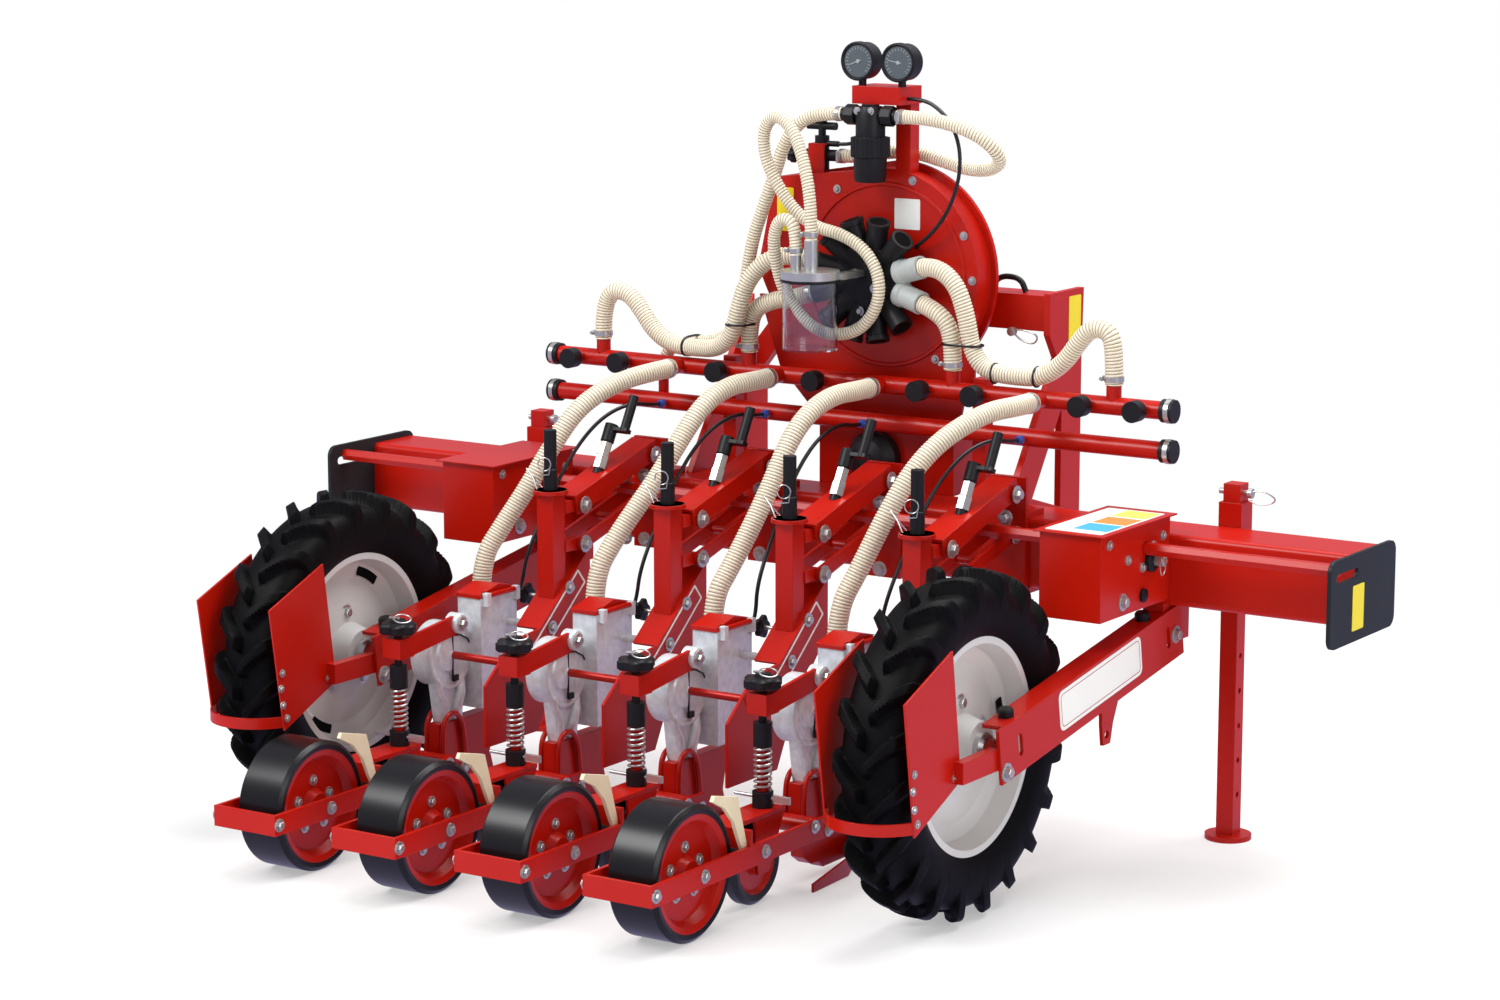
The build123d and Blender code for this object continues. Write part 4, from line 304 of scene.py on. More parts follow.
def carried(points, closes=False):
    """Two cross directions along a path, turned from point to point without twist."""
    ahead = np.roll(points, -1, 0)
    behind = np.roll(points, 1, 0)
    if not closes:
        ahead[-1] = 2 * points[-1] - points[-2]
        behind[0] = 2 * points[0] - points[1]
    tangents = ahead - behind
    tangents /= np.linalg.norm(tangents, axis=1)[:, None]
    sides = [across(tangents[0])[1]]
    for tangent in tangents[1:]:
        side = sides[-1] - tangent * (sides[-1] @ tangent)
        sides.append(side / np.linalg.norm(side))
    sides = np.array(sides)
    return sides, np.cross(tangents, sides)


def tube(points, radius, around=10, closes=False):
    """A round bar along a path: point + r (cos a side + sin a up), closed at its ends."""
    points = np.asarray(points, float)
    sides, ups = carried(points, closes)
    angle = turns(around)
    ring = np.cos(angle)[None, :, None] * sides[:, None] + np.sin(angle)[None, :, None] * ups[:, None]
    surface = points[:, None] + radius * ring
    if not closes:
        first, last = (np.repeat(end[:, None], around, 1) for end in (points[:1], points[-1:]))
        surface = np.concatenate([first, surface, last])
    return surface.reshape(-1, 3), quads(len(surface), around, closes, True)


def loop(centre, axis, radius, wire, steps=32, around=8):
    """A ring of round wire about an axis."""
    along, side, up = across(axis)
    angle = turns(steps)
    path = np.asarray(centre) + radius * (np.cos(angle)[:, None] * side + np.sin(angle)[:, None] * up)
    return tube(path, wire, around, True)


coupling_parts = []
clip_parts = []
sleeve_parts = []
for x in unit_x:
    head = np.array([x, *POST_HEAD])
    coupling_parts.append(turned(COUPLING, (x, *CRANK_FOOT), CRANK_WAY, 6))
    sleeve_parts.append(turned(SLEEVE, head, UP, 20))
    clip_parts.append(turned(CAP_RING, head, UP, 24))
    clip_parts.append(loop(head + CLIP_EYE, CLIP_EYE_WAY, CLIP_EYE_RADIUS, CLIP_WIRE, 24, 6))
    clip_parts.append(tube(head + CLIP_LEG, CLIP_WIRE, 6))
    clip_parts.append(tube(head + BAIL, BAIL_WIRE, 6))
piece("crank_couplings", coupling_parts, zinc_plate, crease=20)
piece("handle_sleeves", sleeve_parts, black_plastic)
piece("handle_clips", clip_parts, zinc_plate, crease=40)

# Signs on the row units: a white border line printed along each sloping web, with nothing inside.
# The film is thin and slightly glossy, and stands a hair above the enamel.
white_film = finish("white_film", {"Roughness": 0.38}, (0.1, "#f2f2ef", "#e9e9e6"))
SIGN_SLOPE = 40.0
SIGN_MIDDLE = (-0.013, 0.389)
SIGN_EDGE = (0.250, 0.040, 0.003)         # width, height and corner radius of the border's outside and inside
SIGN_INSIDE = (0.242, 0.032, 0.002)
SIGN_FILM = 0.0006


def rounded(width, height, corner, steps=6):
    """Outline of a rectangle with round corners, about its middle."""
    quarter = np.linspace(0, np.pi / 2, steps)
    outline = []
    for number, (x, y) in enumerate(((1, 1), (-1, 1), (-1, -1), (1, -1))):
        angle = quarter + number * np.pi / 2
        outline += np.stack([x * (width / 2 - corner) + corner * np.cos(angle),
                             y * (height / 2 - corner) + corner * np.sin(angle)], 1).tolist()
    return outline


def spread(outline, origin, right, up):
    """Places an outline of (across, up) pairs at an origin; gives its points and the way out, right x up."""
    right, up = (np.asarray(way, float) / np.linalg.norm(way) for way in (right, up))
    outline = np.array(outline, float)
    return np.asarray(origin) + outline[:, :1] * right + outline[:, 1:] * up, np.cross(right, up)


def ring_plate(outer, inner, origin, right, up, thick):
    """A flat frame between two outlines of like points, given a thickness along right x up."""
    edge, out = spread(outer, origin, right, up)
    inside = spread(inner, origin, right, up)[0]
    rows = [edge, edge + thick * out, inside + thick * out, inside]
    return np.concatenate(rows), quads(4, len(outer), True, True)


def sloped(degrees):
    """Ways along and up a plate in the machine's side view that rises towards the front."""
    slope = np.radians(degrees)
    return (0, np.cos(slope), np.sin(slope)), (0, -np.sin(slope), np.cos(slope))


sign_parts = [ring_plate(rounded(*SIGN_EDGE), rounded(*SIGN_INSIDE), (x + WEB_FACE, *SIGN_MIDDLE),
                         *sloped(SIGN_SLOPE), SIGN_FILM) for x in unit_x]
piece("unit_signs", sign_parts, white_film)

# Seed meters: rim and clip of the disc housing, the boss that carries the bar, and the hopper's knob.
# The clip is black spring wire in an arch; the boss is cast with the housing and holds a zinc-plated bolt.
METER_FACE = 0.014        # from the seed line to the housing's face
HOUSING_RIM = ((0.0665, -0.004), (0.0695, -0.003), (0.0695, 0.0025), (0.065, 0.004), (0.061, 0.0015),
               (0.058, 0))
HOUSING_DOME = ((0.040, 0), (0.036, 0.004), (0, 0.006))
DOME_CENTRE = (-0.172, 0.338)
BOSS = ((0.0205, -0.012), (0.0205, 0.013), (0.018, 0.016), (0, 0.016))
BOSS_CENTRE = (-0.150, 0.396)
BOSS_START, BOSS_FACE, BOSS_BOLT = 0.016, 0.032, 0.015
SPOUT_RIBS = (            # radius, and points from the middle of the housing's face
    (0.010, ((-0.006, -0.128, 0.274), (0.003, -0.138, 0.252), (0.004, -0.150, 0.226),
             (-0.006, -0.152, 0.204))),
    (0.008, ((-0.004, -0.205, 0.288), (-0.002, -0.200, 0.262), (0, -0.186, 0.240), (-0.002, -0.182, 0.206))),
)
STEM_Y, STEM_TOP, STEM_FOOT, STEM_WIRE = -0.164, 0.374, 0.286, 0.0022
STEM_OUT, ARCH_OUT, EYE_OUT, FOOT_OUT = 0.004, 0.0045, 0.005, 0.001   # the clip's parts, out from the face
ARCH_WIRE = 0.0017
ARCH = ((-0.162, 0.372), (-0.140, 0.370), (-0.116, 0.358), (-0.102, 0.338), (-0.101, 0.312), (-0.106, 0.286))
EYE_Z, EYE_RADIUS, EYE_WIRE = 0.330, 0.0052, 0.0016
CLIP_FOOT = (-0.158, 0.284)
CLIP_FOOT_SIZE, CLIP_FOOT_THICK = (-0.006, 0.010, 0.006), 0.006
KNOB_CENTRE = (0.036, 0.427)
KNOB_X, STUD_START, STUD_END, STUD_RADIUS = 0.062, 0.046, 0.101, 0.004
HOPPER_KNOB = (0.021, 0.012, 5)           # radius, thickness and lobes


def slab(outline, origin, right, up, thick):
    """A plate: an outline of (across, up) pairs at an origin, given a thickness along right x up."""
    base, out = spread(outline, origin, right, up)
    count = len(outline)
    faces = [[place, (place + 1) % count, count + (place + 1) % count, count + place]
             for place in range(count)]
    faces += [list(range(count))[::-1], list(range(count, 2 * count))]
    return np.concatenate([base, base + thick * out]), faces


def oblong(start, end, half):
    """Outline of a straight bar from start to end, a half width to each side."""
    return [(start, -half), (end, -half), (end, half), (start, half)]


def star(centre, axis, radius, thick, lobes):
    """A hand knob: a disc whose edge waves as r (1 + 0.13 cos(lobes a)), with rounded rims."""
    profile = [(0, 0), (0.86 * radius, 0), (radius, 0.2 * thick), (radius, 0.8 * thick),
               (0.86 * radius, thick), (0.45 * radius, thick), (0.4 * radius, 1.35 * thick),
               (0, 1.35 * thick)]
    return turned(profile, centre, axis, 60, lambda angle: 1 + 0.13 * np.cos(lobes * angle))


casting_parts = []
wire_parts = []
knob_parts = []
stud_parts = []
for seed in seed_x:
    face = seed + METER_FACE
    casting_parts.append(turned(HOUSING_RIM, (face, *DISC_CENTRE), RIGHT, 56))
    casting_parts.append(turned(HOUSING_DOME, (face, *DOME_CENTRE), RIGHT, 40))
    casting_parts.append(turned(BOSS, (seed + BOSS_START, *BOSS_CENTRE), RIGHT, 32))
    casting_parts += [tube(np.add(points, (face, 0, 0)), radius, 14) for radius, points in SPOUT_RIBS]
    stem = [(face + STEM_OUT, STEM_Y, z) for z in np.linspace(STEM_TOP, STEM_FOOT, 12)]
    wire_parts.append(tube(stem, STEM_WIRE, 8))
    wire_parts.append(tube([(face + ARCH_OUT, y, z) for y, z in ARCH], ARCH_WIRE, 8))
    wire_parts.append(loop((face + EYE_OUT, STEM_Y, EYE_Z), RIGHT, EYE_RADIUS, EYE_WIRE, 20, 6))
    clip_foot = (face + FOOT_OUT, *CLIP_FOOT)
    wire_parts.append(slab(oblong(*CLIP_FOOT_SIZE), clip_foot, AHEAD, UP, CLIP_FOOT_THICK))
    knob_parts.append(star((seed + KNOB_X, *KNOB_CENTRE), LEFT, *HOPPER_KNOB))
    stud_parts.append(tube([(seed + x, *KNOB_CENTRE) for x in (STUD_START, STUD_END)], STUD_RADIUS, 12))
piece("meter_castings", casting_parts, cast_aluminium)
piece("meter_clips", wire_parts, black_plastic, crease=40)
piece("hopper_knobs", knob_parts, black_plastic, crease=40)
piece("hopper_studs", stud_parts, zinc_plate)
bolts("boss_bolts", [(seed + BOSS_FACE, *BOSS_CENTRE) for seed in seed_x], RIGHT, BOSS_BOLT)

# Hoses: ribbed PVC suction hose with a hard white helix in a soft cream wall, and thin pipes of black nylon.
# The helix stands proud every few millimetres; the wall between the turns is painted a darker tan in the
# grooves, partly its own cream tone and partly painted shade.
HOSE_WIDTH = {"seed": 0.040, "fan": 0.037, "service": 0.028, "jar": 0.026}
PIPE_WIDTH = 0.008
RIB_PITCH = 0.0064
RIB_DEPTH = 0.0013
RIB_SAMPLES = 6           # points along the hose for each turn of the rib
HOSE_SIDES = 20
PIPE_STEP = 0.004
GROOVE_SHADE_END = 0.55         # share of the rib's height below which the painted groove shade shows
ribbed_pvc, tree, shader, place = new_finish("ribbed_pvc_hose", {"Roughness": 0.42})
rib = add_node(tree, "ShaderNodeAttribute", attribute_name="rib").outputs["Fac"]
groove_shade = add_node(tree, "ShaderNodeMapRange", {"Value": rib, "From Max": GROOVE_SHADE_END},
                  interpolation_type="SMOOTHSTEP")
helix = clouded(tree, place, 0.12, "#efe8d8", "#e4dbc6")
# The darker tan at the bottom of each groove is partly the wall's own cream tone and partly painted shade.
helix_and_groove_shade = add_node(tree, "ShaderNodeMixRGB", {"Fac": groove_shade.outputs["Result"], "Color1": linear("#a3906c"),
                                                 "Color2": helix})
link(tree, shader, Base_Color=helix_and_groove_shade.outputs["Color"])
black_pipe = finish("black_nylon_pipe", {"Roughness": 0.35}, (0.05, "#111214", "#191b1e"))


def route(name, points):
    """Points along the smooth NURBS line that a route's points control."""
    curve = bpy.data.curves.new(name, "CURVE")
    curve.dimensions = "3D"
    curve.resolution_u = 24
    spline = curve.splines.new("NURBS")
    spline.points.add(len(points) - 1)
    spline.points.foreach_set("co", np.hstack([np.array(points), np.ones((len(points), 1))]).ravel())
    spline.order_u = 3
    spline.use_endpoint_u = True
    holder = bpy.data.objects.new(name, curve)
    mesh = bpy.data.meshes.new_from_object(holder)
    line = np.empty(3 * len(mesh.vertices))
    mesh.vertices.foreach_get("co", line)
    bpy.data.objects.remove(holder)
    bpy.data.curves.remove(curve)
    bpy.data.meshes.remove(mesh)
    return line.reshape(-1, 3)


def evenly(line, step):
    """Points a step apart along a line, with the distance of each from its start."""
    gone = np.concatenate([[0], np.cumsum(np.linalg.norm(np.diff(line, axis=0), axis=1))])
    along = np.linspace(0, gone[-1], int(gone[-1] / step) + 1)
    return np.stack([np.interp(along, gone, line[:, way]) for way in range(3)], 1), along


def ribbed_hose(name, points, width, node):
    """A helix rib round a path: r = R - depth (1 - cos(2 pi s / pitch - a)) / 2 at distance s, angle a."""
    line, along = evenly(route(name, points), RIB_PITCH / RIB_SAMPLES)
    sides, ups = carried(line)
    angle = turns(HOSE_SIDES)
    rib = 0.5 + 0.5 * np.cos(2 * np.pi * along[:, None] / RIB_PITCH - angle[None])
    radius = width / 2 - RIB_DEPTH * (1 - rib)
    ring = np.cos(angle)[None, :, None] * sides[:, None] + np.sin(angle)[None, :, None] * ups[:, None]
    surface = (line[:, None] + radius[:, :, None] * ring).reshape(-1, 3)
    faces = quads(len(line), HOSE_SIDES, columns_close=True)
    faces += [list(range(HOSE_SIDES))[::-1], list(range(len(surface) - HOSE_SIDES, len(surface)))]
    mesh = bpy.data.meshes.new(name)
    mesh.from_pydata(surface.tolist(), [], faces)
    mesh.attributes.new("rib", "FLOAT", "POINT").data.foreach_set("value", rib.ravel())
    made = hang(mesh, ribbed_pvc, crease=60)
    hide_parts(node)


def nylon_pipe(name, points):
    """A plain round pipe along a smooth route."""
    line, along = evenly(route(name, points), PIPE_STEP)
    made = piece(name, [tube(line, PIPE_WIDTH / 2, 10)], black_pipe, crease=60)
    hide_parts("air_pipes")


# The seed hoses bow from the top manifold's rear ports down to the meters.
MANIFOLD_HALF = 0.740
MANIFOLD_Y, TOP_MANIFOLD, LOW_MANIFOLD = 0.458, 0.855, 0.776
SEED_PORTS = (-0.545, -0.209, 0.122, 0.619)           # shares of the manifold's half length
SEED_START, SEED_LEAD, SEED_CLAMP = 0.410, 0.350, 0.398
SEED_BOW = 0.230          # middle point of the bow's parabola in plan
SEED_SHARES = np.array([0.34, 0.50, 0.62, 0.73, 0.83, 0.92])
SEED_HEIGHTS = (
    (0.846, 0.823, 0.786, 0.712, 0.630, 0.560, 0.490),
    (0.853, 0.819, 0.754, 0.680, 0.620, 0.560, 0.490),
    (0.854, 0.828, 0.776, 0.682, 0.603, 0.535, 0.476),
    (0.852, 0.828, 0.797, 0.745, 0.662, 0.566, 0.485),
)
METER_STUB = (-0.045, 0.015, 0.412)
STUB_CLAMP = 0.424
hose_ends = []            # (hose, centre, direction) where a band clamp sits
for number, (share, seed, heights) in enumerate(zip(SEED_PORTS, seed_x, SEED_HEIGHTS), start=1):
    port = share * MANIFOLD_HALF
    end_x, end_y = seed + METER_STUB[0], METER_STUB[1]
    left = 1 - SEED_SHARES
    x = port + SEED_SHARES ** 2 * (end_x - port)
    y = left ** 2 * SEED_START + 2 * SEED_SHARES * left * SEED_BOW + SEED_SHARES ** 2 * end_y
    points = [(port, SEED_START, TOP_MANIFOLD), (port, SEED_LEAD, TOP_MANIFOLD),
              *zip(x.tolist(), y.tolist(), heights),
              (end_x, end_y, heights[-1]), (end_x, end_y, METER_STUB[2])]
    ribbed_hose("seed_hose_%d" % number, points, HOSE_WIDTH["seed"], "seed_hoses")
    hose_ends.append(("seed", (port, SEED_CLAMP, TOP_MANIFOLD), REAR))
    hose_ends.append(("seed", (end_x, end_y, STUB_CLAMP), UP))

# The fan hoses join the suction hub's nozzles to the top manifold's upper ports.
TOP_PORTS = (-0.823, -0.322, 0.336, 0.827)
TOP_PORT_END, TOP_PORT_CLAMP = 0.897, 0.908
HUB = np.array([0.038, 0.489, 1.062])
NOZZLE_COUNT = 12
NOZZLE_TIP = 12.0         # degrees that the nozzles are tipped to the rear
NOZZLE_REACH, NOZZLE_LEAD, NOZZLE_CLAMP = 0.128, 0.046, 0.010
CUFFED = (2, 3)           # nozzles whose hoses end in cuffs and have no clamp there
FAN_ROUTES = (            # nozzle, top port, height of the corner above it, points between
    (2, 3, 0.952, ((0.258, 0.449, 1.076), (0.282, 0.452, 1.010), (0.292, 0.456, 0.942), (0.322, 0.458, 0.901),
                   (0.385, 0.459, 0.895), (0.450, 0.460, 0.897), (0.500, 0.460, 0.930), (0.532, 0.459, 0.974),
                   (0.562, 0.458, 1.006), (0.603, 0.458, 1.001))),
    (3, 2, 0.945, ((0.238, 0.454, 0.992),)),
    (9, 0, 0.958, ((-0.180, 0.438, 1.096), (-0.222, 0.424, 1.050), (-0.240, 0.418, 0.986),
                   (-0.258, 0.423, 0.932), (-0.303, 0.434, 0.900), (-0.365, 0.446, 0.896),
                   (-0.425, 0.451, 0.897), (-0.475, 0.454, 0.922), (-0.508, 0.456, 0.964),
                   (-0.541, 0.457, 0.998), (-0.586, 0.458, 1.003))),
    (8, 1, 0.945, ((-0.178, 0.453, 1.008), (-0.224, 0.455, 0.988))),
)


def nozzle_way(number):
    """Direction of a hub nozzle: the first stands half a pitch past the top, all tipped to the rear."""
    turn = 2 * np.pi * (number + 0.5) / NOZZLE_COUNT
    tip = np.radians(NOZZLE_TIP)
    return np.array([np.cos(tip) * np.sin(turn), -np.sin(tip), np.cos(tip) * np.cos(turn)])


for number, (nozzle, port, corner, between) in enumerate(FAN_ROUTES, start=1):
    way = nozzle_way(nozzle)
    end_x = TOP_PORTS[port] * MANIFOLD_HALF
    points = [tuple(HUB + NOZZLE_REACH * way), tuple(HUB + (NOZZLE_REACH + NOZZLE_LEAD) * way), *between,
              (end_x, MANIFOLD_Y, corner), (end_x, MANIFOLD_Y, TOP_PORT_END)]
    ribbed_hose("fan_hose_%d" % number, points, HOSE_WIDTH["fan"], "fan_hoses")
    hose_ends.append(("fan", (end_x, MANIFOLD_Y, TOP_PORT_CLAMP), UP))
    if nozzle not in CUFFED:
        hose_ends.append(("fan", tuple(HUB + (NOZZLE_REACH + NOZZLE_CLAMP) * way), tuple(way)))

# The service hoses leave the filter on both sides, and the jar's hose loops round behind the jar.
FILTER_LEFT = ((-0.019, 0.470, 1.396), (-0.072, 0.470, 1.396), (-0.122, 0.468, 1.378), (-0.160, 0.468, 1.332),
               (-0.182, 0.469, 1.270), (-0.208, 0.470, 1.205), (-0.236, 0.472, 1.140), (-0.254, 0.475, 1.070),
               (-0.268, 0.480, 1.000), (-0.290, 0.488, 0.940), (-0.335, 0.492, 0.910), (-0.395, 0.493, 0.900),
               (-0.450, 0.493, 0.893), (-0.478, 0.492, 0.862), (-0.478, 0.492, 0.822))
FILTER_RIGHT = ((0.109, 0.470, 1.396), (0.165, 0.470, 1.396), (0.225, 0.471, 1.388), (0.280, 0.477, 1.371),
                (0.318, 0.492, 1.342), (0.322, 0.518, 1.312), (0.280, 0.543, 1.291), (0.215, 0.562, 1.289),
                (0.145, 0.575, 1.304), (0.078, 0.580, 1.317), (0.015, 0.570, 1.313), (-0.035, 0.558, 1.302),
                (-0.085, 0.558, 1.302))
JAR_ROUTE = ((-0.022, 0.354, 1.150), (-0.022, 0.354, 1.206), (-0.032, 0.358, 1.264), (-0.052, 0.366, 1.322),
             (-0.084, 0.376, 1.376), (-0.132, 0.388, 1.398), (-0.166, 0.398, 1.362), (-0.166, 0.406, 1.304),
             (-0.140, 0.412, 1.250), (-0.104, 0.419, 1.200), (-0.056, 0.425, 1.168), (0.004, 0.429, 1.158),
             (0.060, 0.432, 1.128), (0.092, 0.433, 1.076), (0.088, 0.432, 1.016), (0.052, 0.429, 0.968),
             (-0.004, 0.426, 0.950), (-0.060, 0.424, 0.962), (-0.102, 0.412, 1.004), (-0.122, 0.396, 1.056),
             (-0.124, 0.379, 1.108), (-0.120, 0.366, 1.152), (-0.100, 0.358, 1.190), (-0.066, 0.354, 1.188),
             (-0.058, 0.354, 1.150), (-0.058, 0.354, 1.118))
ribbed_hose("filter_hose_left", FILTER_LEFT, HOSE_WIDTH["service"], "service_hoses")
ribbed_hose("filter_hose_right", FILTER_RIGHT, HOSE_WIDTH["service"], "service_hoses")
ribbed_hose("jar_hose", JAR_ROUTE, HOSE_WIDTH["jar"], "service_hoses")
hose_ends += [("service", (-0.029, 0.470, 1.396), LEFT), ("service", (0.119, 0.470, 1.396), RIGHT),
              ("service", (-0.075, 0.558, 1.302), RIGHT), ("jar", (-0.022, 0.354, 1.162), UP),
              ("jar", (-0.058, 0.354, 1.128), UP), ("service", (-0.478, 0.492, 0.834), UP)]

# The thin pipes serve the gauges and the valve, and run from the lower manifold to the meters.
GAUGE_ROUTE = ((0.114, 0.500, 1.430), (0.152, 0.500, 1.430), (0.190, 0.495, 1.413), (0.222, 0.492, 1.384),
               (0.241, 0.490, 1.340), (0.243, 0.489, 1.290), (0.230, 0.489, 1.240), (0.205, 0.491, 1.195),
               (0.172, 0.495, 1.160), (0.142, 0.500, 1.138), (0.128, 0.507, 1.130), (0.128, 0.520, 1.130))
VALVE_ROUTE = ((0.020, 0.530, 1.418), (0.020, 0.530, 1.388), (0.004, 0.534, 1.362), (-0.024, 0.543, 1.342),
               (-0.054, 0.558, 1.326), (-0.085, 0.558, 1.326))
PIPE_PORTS = (-0.589, -0.238, 0.080, 0.572)           # shares of the manifold's half length
PIPE_START, PIPE_LEAD = 0.426, 0.392
PIPE_SHARES = np.array([0.20, 0.38, 0.54, 0.68, 0.80, 0.89])
PIPE_HEIGHTS = (0.786, 0.768, 0.720, 0.648, 0.568, 0.498)
PIPE_SIDE = 0.020         # from the seed line to the pipe's end
PIPE_END = ((0.068, 0.440), (0.046, 0.412), (0.024, 0.412))
nylon_pipe("gauge_pipe", GAUGE_ROUTE)
nylon_pipe("valve_pipe", VALVE_ROUTE)
for number, (share, seed) in enumerate(zip(PIPE_PORTS, seed_x), start=1):
    port = share * MANIFOLD_HALF
    end_x = seed + PIPE_SIDE
    x = port + PIPE_SHARES * (end_x - port)
    y = PIPE_START + PIPE_SHARES * (PIPE_END[-1][0] - PIPE_START)
    points = [(port, PIPE_START, LOW_MANIFOLD), (port, PIPE_LEAD, LOW_MANIFOLD),
              *zip(x.tolist(), y.tolist(), PIPE_HEIGHTS), *[(end_x, *end) for end in PIPE_END]]
    nylon_pipe("meter_pipe_%d" % number, points)

# Push-in fittings: blue release collars where the thin pipes leave the lower manifold.
# Each is a short moulded ring with a lip, pushed over the pipe against the port.
blue_collar = finish("blue_collar", {"Roughness": 0.4}, (0.01, "#2f55b5", "#2a4ca3"))
COLLAR = ((0.0040, -0.002), (0.0085, -0.002), (0.0085, 0.006), (0.0068, 0.008), (0.0068, 0.013),
          (0.0040, 0.013))
collar_parts = [turned(COLLAR, (share * MANIFOLD_HALF, PIPE_START, LOW_MANIFOLD), REAR, 20)
                for share in PIPE_PORTS]
piece("pipe_collars", collar_parts, blue_collar)

# Band clamps: a slotted zinc strip pulled tight over each hose end by a worm screw.
# The strip stands just proud of the ribs, and the screw's housing sits on one side.
CLAMP_HALF = 0.00475
CLAMP_PROUD, CLAMP_SUNK = 0.0012, 0.001
WORM = ((0, -0.011), (0.005, -0.011), (0.005, 0.008), (0.0035, 0.0085), (0.0035, 0.013), (0, 0.013))
WORM_OFF = 0.004
clamp_parts = []
for hose, centre, way in hose_ends:
    outer = HOSE_WIDTH[hose] / 2 + CLAMP_PROUD
    inner = HOSE_WIDTH[hose] / 2 - CLAMP_SUNK
    strip = [(inner, -CLAMP_HALF), (outer, -CLAMP_HALF), (outer, CLAMP_HALF), (inner, CLAMP_HALF)]
    along, side, up = across(way)
    clamp_parts.append(turned(strip, centre, way, 28))
    clamp_parts.append(turned(WORM, np.asarray(centre) + side * (outer + WORM_OFF), up, 10))
piece("band_clamps", clamp_parts, zinc_plate)

# Column springs: compression coils of zinc-plated wire over the red rods of the press-wheel columns.
# Each coil has eight even turns between its seats.
SPRING_FOOT, SPRING_HEAD = 0.206, 0.292
SPRING_MEAN, SPRING_WIRE = 0.0155, 0.0024
SPRING_TURNS, SPRING_SAMPLES = 8.0, 240
COLUMN_Y = -0.314
ROD = ((0, SPRING_FOOT), (0.0108, SPRING_FOOT), (0.0108, SPRING_HEAD), (0, SPRING_HEAD))
turn = np.linspace(0, 2 * np.pi * SPRING_TURNS, SPRING_SAMPLES)
rise = np.linspace(SPRING_FOOT + SPRING_WIRE, SPRING_HEAD - SPRING_WIRE, SPRING_SAMPLES)
coil = np.stack([SPRING_MEAN * np.cos(turn), COLUMN_Y + SPRING_MEAN * np.sin(turn), rise], 1)
spring_parts = [tube(coil + (seed, 0, 0), SPRING_WIRE, 8) for seed in seed_x]
springs = piece("column_coils", spring_parts, zinc_plate)
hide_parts("column_springs")
rod_parts = [turned(ROD, (seed, COLUMN_Y, 0), UP, 20) for seed in seed_x]
piece("column_rods", rod_parts, red_enamel)

# Column heads: star knobs on the depth screws, lynch-pin wires, and a spring pin through each seat.
# The knobs are black nylon, and the wires and pins are zinc-plated.
DEPTH_KNOB = (0.0345, 0.021, 6)           # radius, thickness and lobes
DEPTH_KNOB_FOOT = 0.402
HEAD_PIN = ((-0.020, 0, 0.431), (0.004, -0.002, 0.433))   # places are taken from the column's foot
HEAD_RING, HEAD_RING_WAY = (0.016, -0.006, 0.434), (0.25, -0.2, 1)
HEAD_RING_RADIUS, HEAD_RING_WIRE = 0.017, 0.0016
SEAT_PIN = ((-0.062, 0, 0.194), (0.030, 0, 0.194))
HEAD_PIN_RADIUS, SEAT_PIN_RADIUS = 0.003, 0.0035
SEAT_TAB = (0.024, 0.003, 0.194)
SEAT_TAB_SIZE, SEAT_TAB_THICK = (0, 0.036, 0.007), 0.006
head_parts = []
pin_parts = []
for seed in seed_x:
    foot = np.array([seed, COLUMN_Y, 0])
    head_parts.append(star(foot + (0, 0, DEPTH_KNOB_FOOT), UP, *DEPTH_KNOB))
    pin_parts.append(loop(foot + HEAD_RING, HEAD_RING_WAY, HEAD_RING_RADIUS, HEAD_RING_WIRE, 28, 6))
    pin_parts.append(tube(foot + HEAD_PIN, HEAD_PIN_RADIUS, 10))
    pin_parts.append(tube(foot + SEAT_PIN, SEAT_PIN_RADIUS, 10))
    pin_parts.append(slab(oblong(*SEAT_TAB_SIZE), foot + SEAT_TAB, RIGHT, UP, SEAT_TAB_THICK))
piece("column_knobs", head_parts, black_plastic, crease=40)
piece("column_pins", pin_parts, zinc_plate, crease=40)

# Furrow openers: a welded shoe under each meter's outlet, cut away in steps behind the seed drop.
# A bent wing of flat bar leaves the shoe's nose on the right and runs back beside it, to close the furrow.
SHOE_HALF = 0.014
SHOE_SIDE = ((-0.020, 0.196), (-0.040, 0.110), (-0.017, 0.032), (-0.026, 0.018), (-0.125, 0.018),
             (-0.142, 0.032), (-0.169, 0.034), (-0.195, 0.051), (-0.205, 0.110), (-0.205, 0.196))
WING_THICK = 0.005
WING = np.array((         # right of the seed line, along Y, lower and upper edge
    (0.013, -0.020, 0.022, 0.062),
    (0.040, -0.060, 0.012, 0.057),
    (0.056, -0.110, 0.003, 0.038),
    (0.058, -0.236, 0.001, 0.017),
))


def wing(seed):
    """A strip with four edge lines: lower and upper edges on both faces, square to its run on the ground."""
    line = WING[:, :2] + (seed, 0)
    runs = np.gradient(line, axis=0)
    outwards = np.stack([-runs[:, 1], runs[:, 0]], 1) / np.linalg.norm(runs, axis=1)[:, None]
    outside = line + WING_THICK * outwards
    rows = [np.column_stack(row) for row in ((line, WING[:, 2]), (outside, WING[:, 2]),
                                             (outside, WING[:, 3]), (line, WING[:, 3]))]
    points = np.stack(rows, 1).reshape(-1, 3)
    faces = quads(len(line), 4, columns_close=True)
    faces += [[3, 2, 1, 0], [len(points) - 4 + corner for corner in range(4)]]
    return points, faces


shoe_parts = [slab(SHOE_SIDE, (seed - SHOE_HALF, 0, 0), AHEAD, UP, 2 * SHOE_HALF) for seed in seed_x]
shoes = piece("opener_shoes", shoe_parts, red_enamel, crease=20)
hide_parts("seed_shoes")
piece("opener_wings", [wing(seed) for seed in seed_x], red_enamel, crease=20)

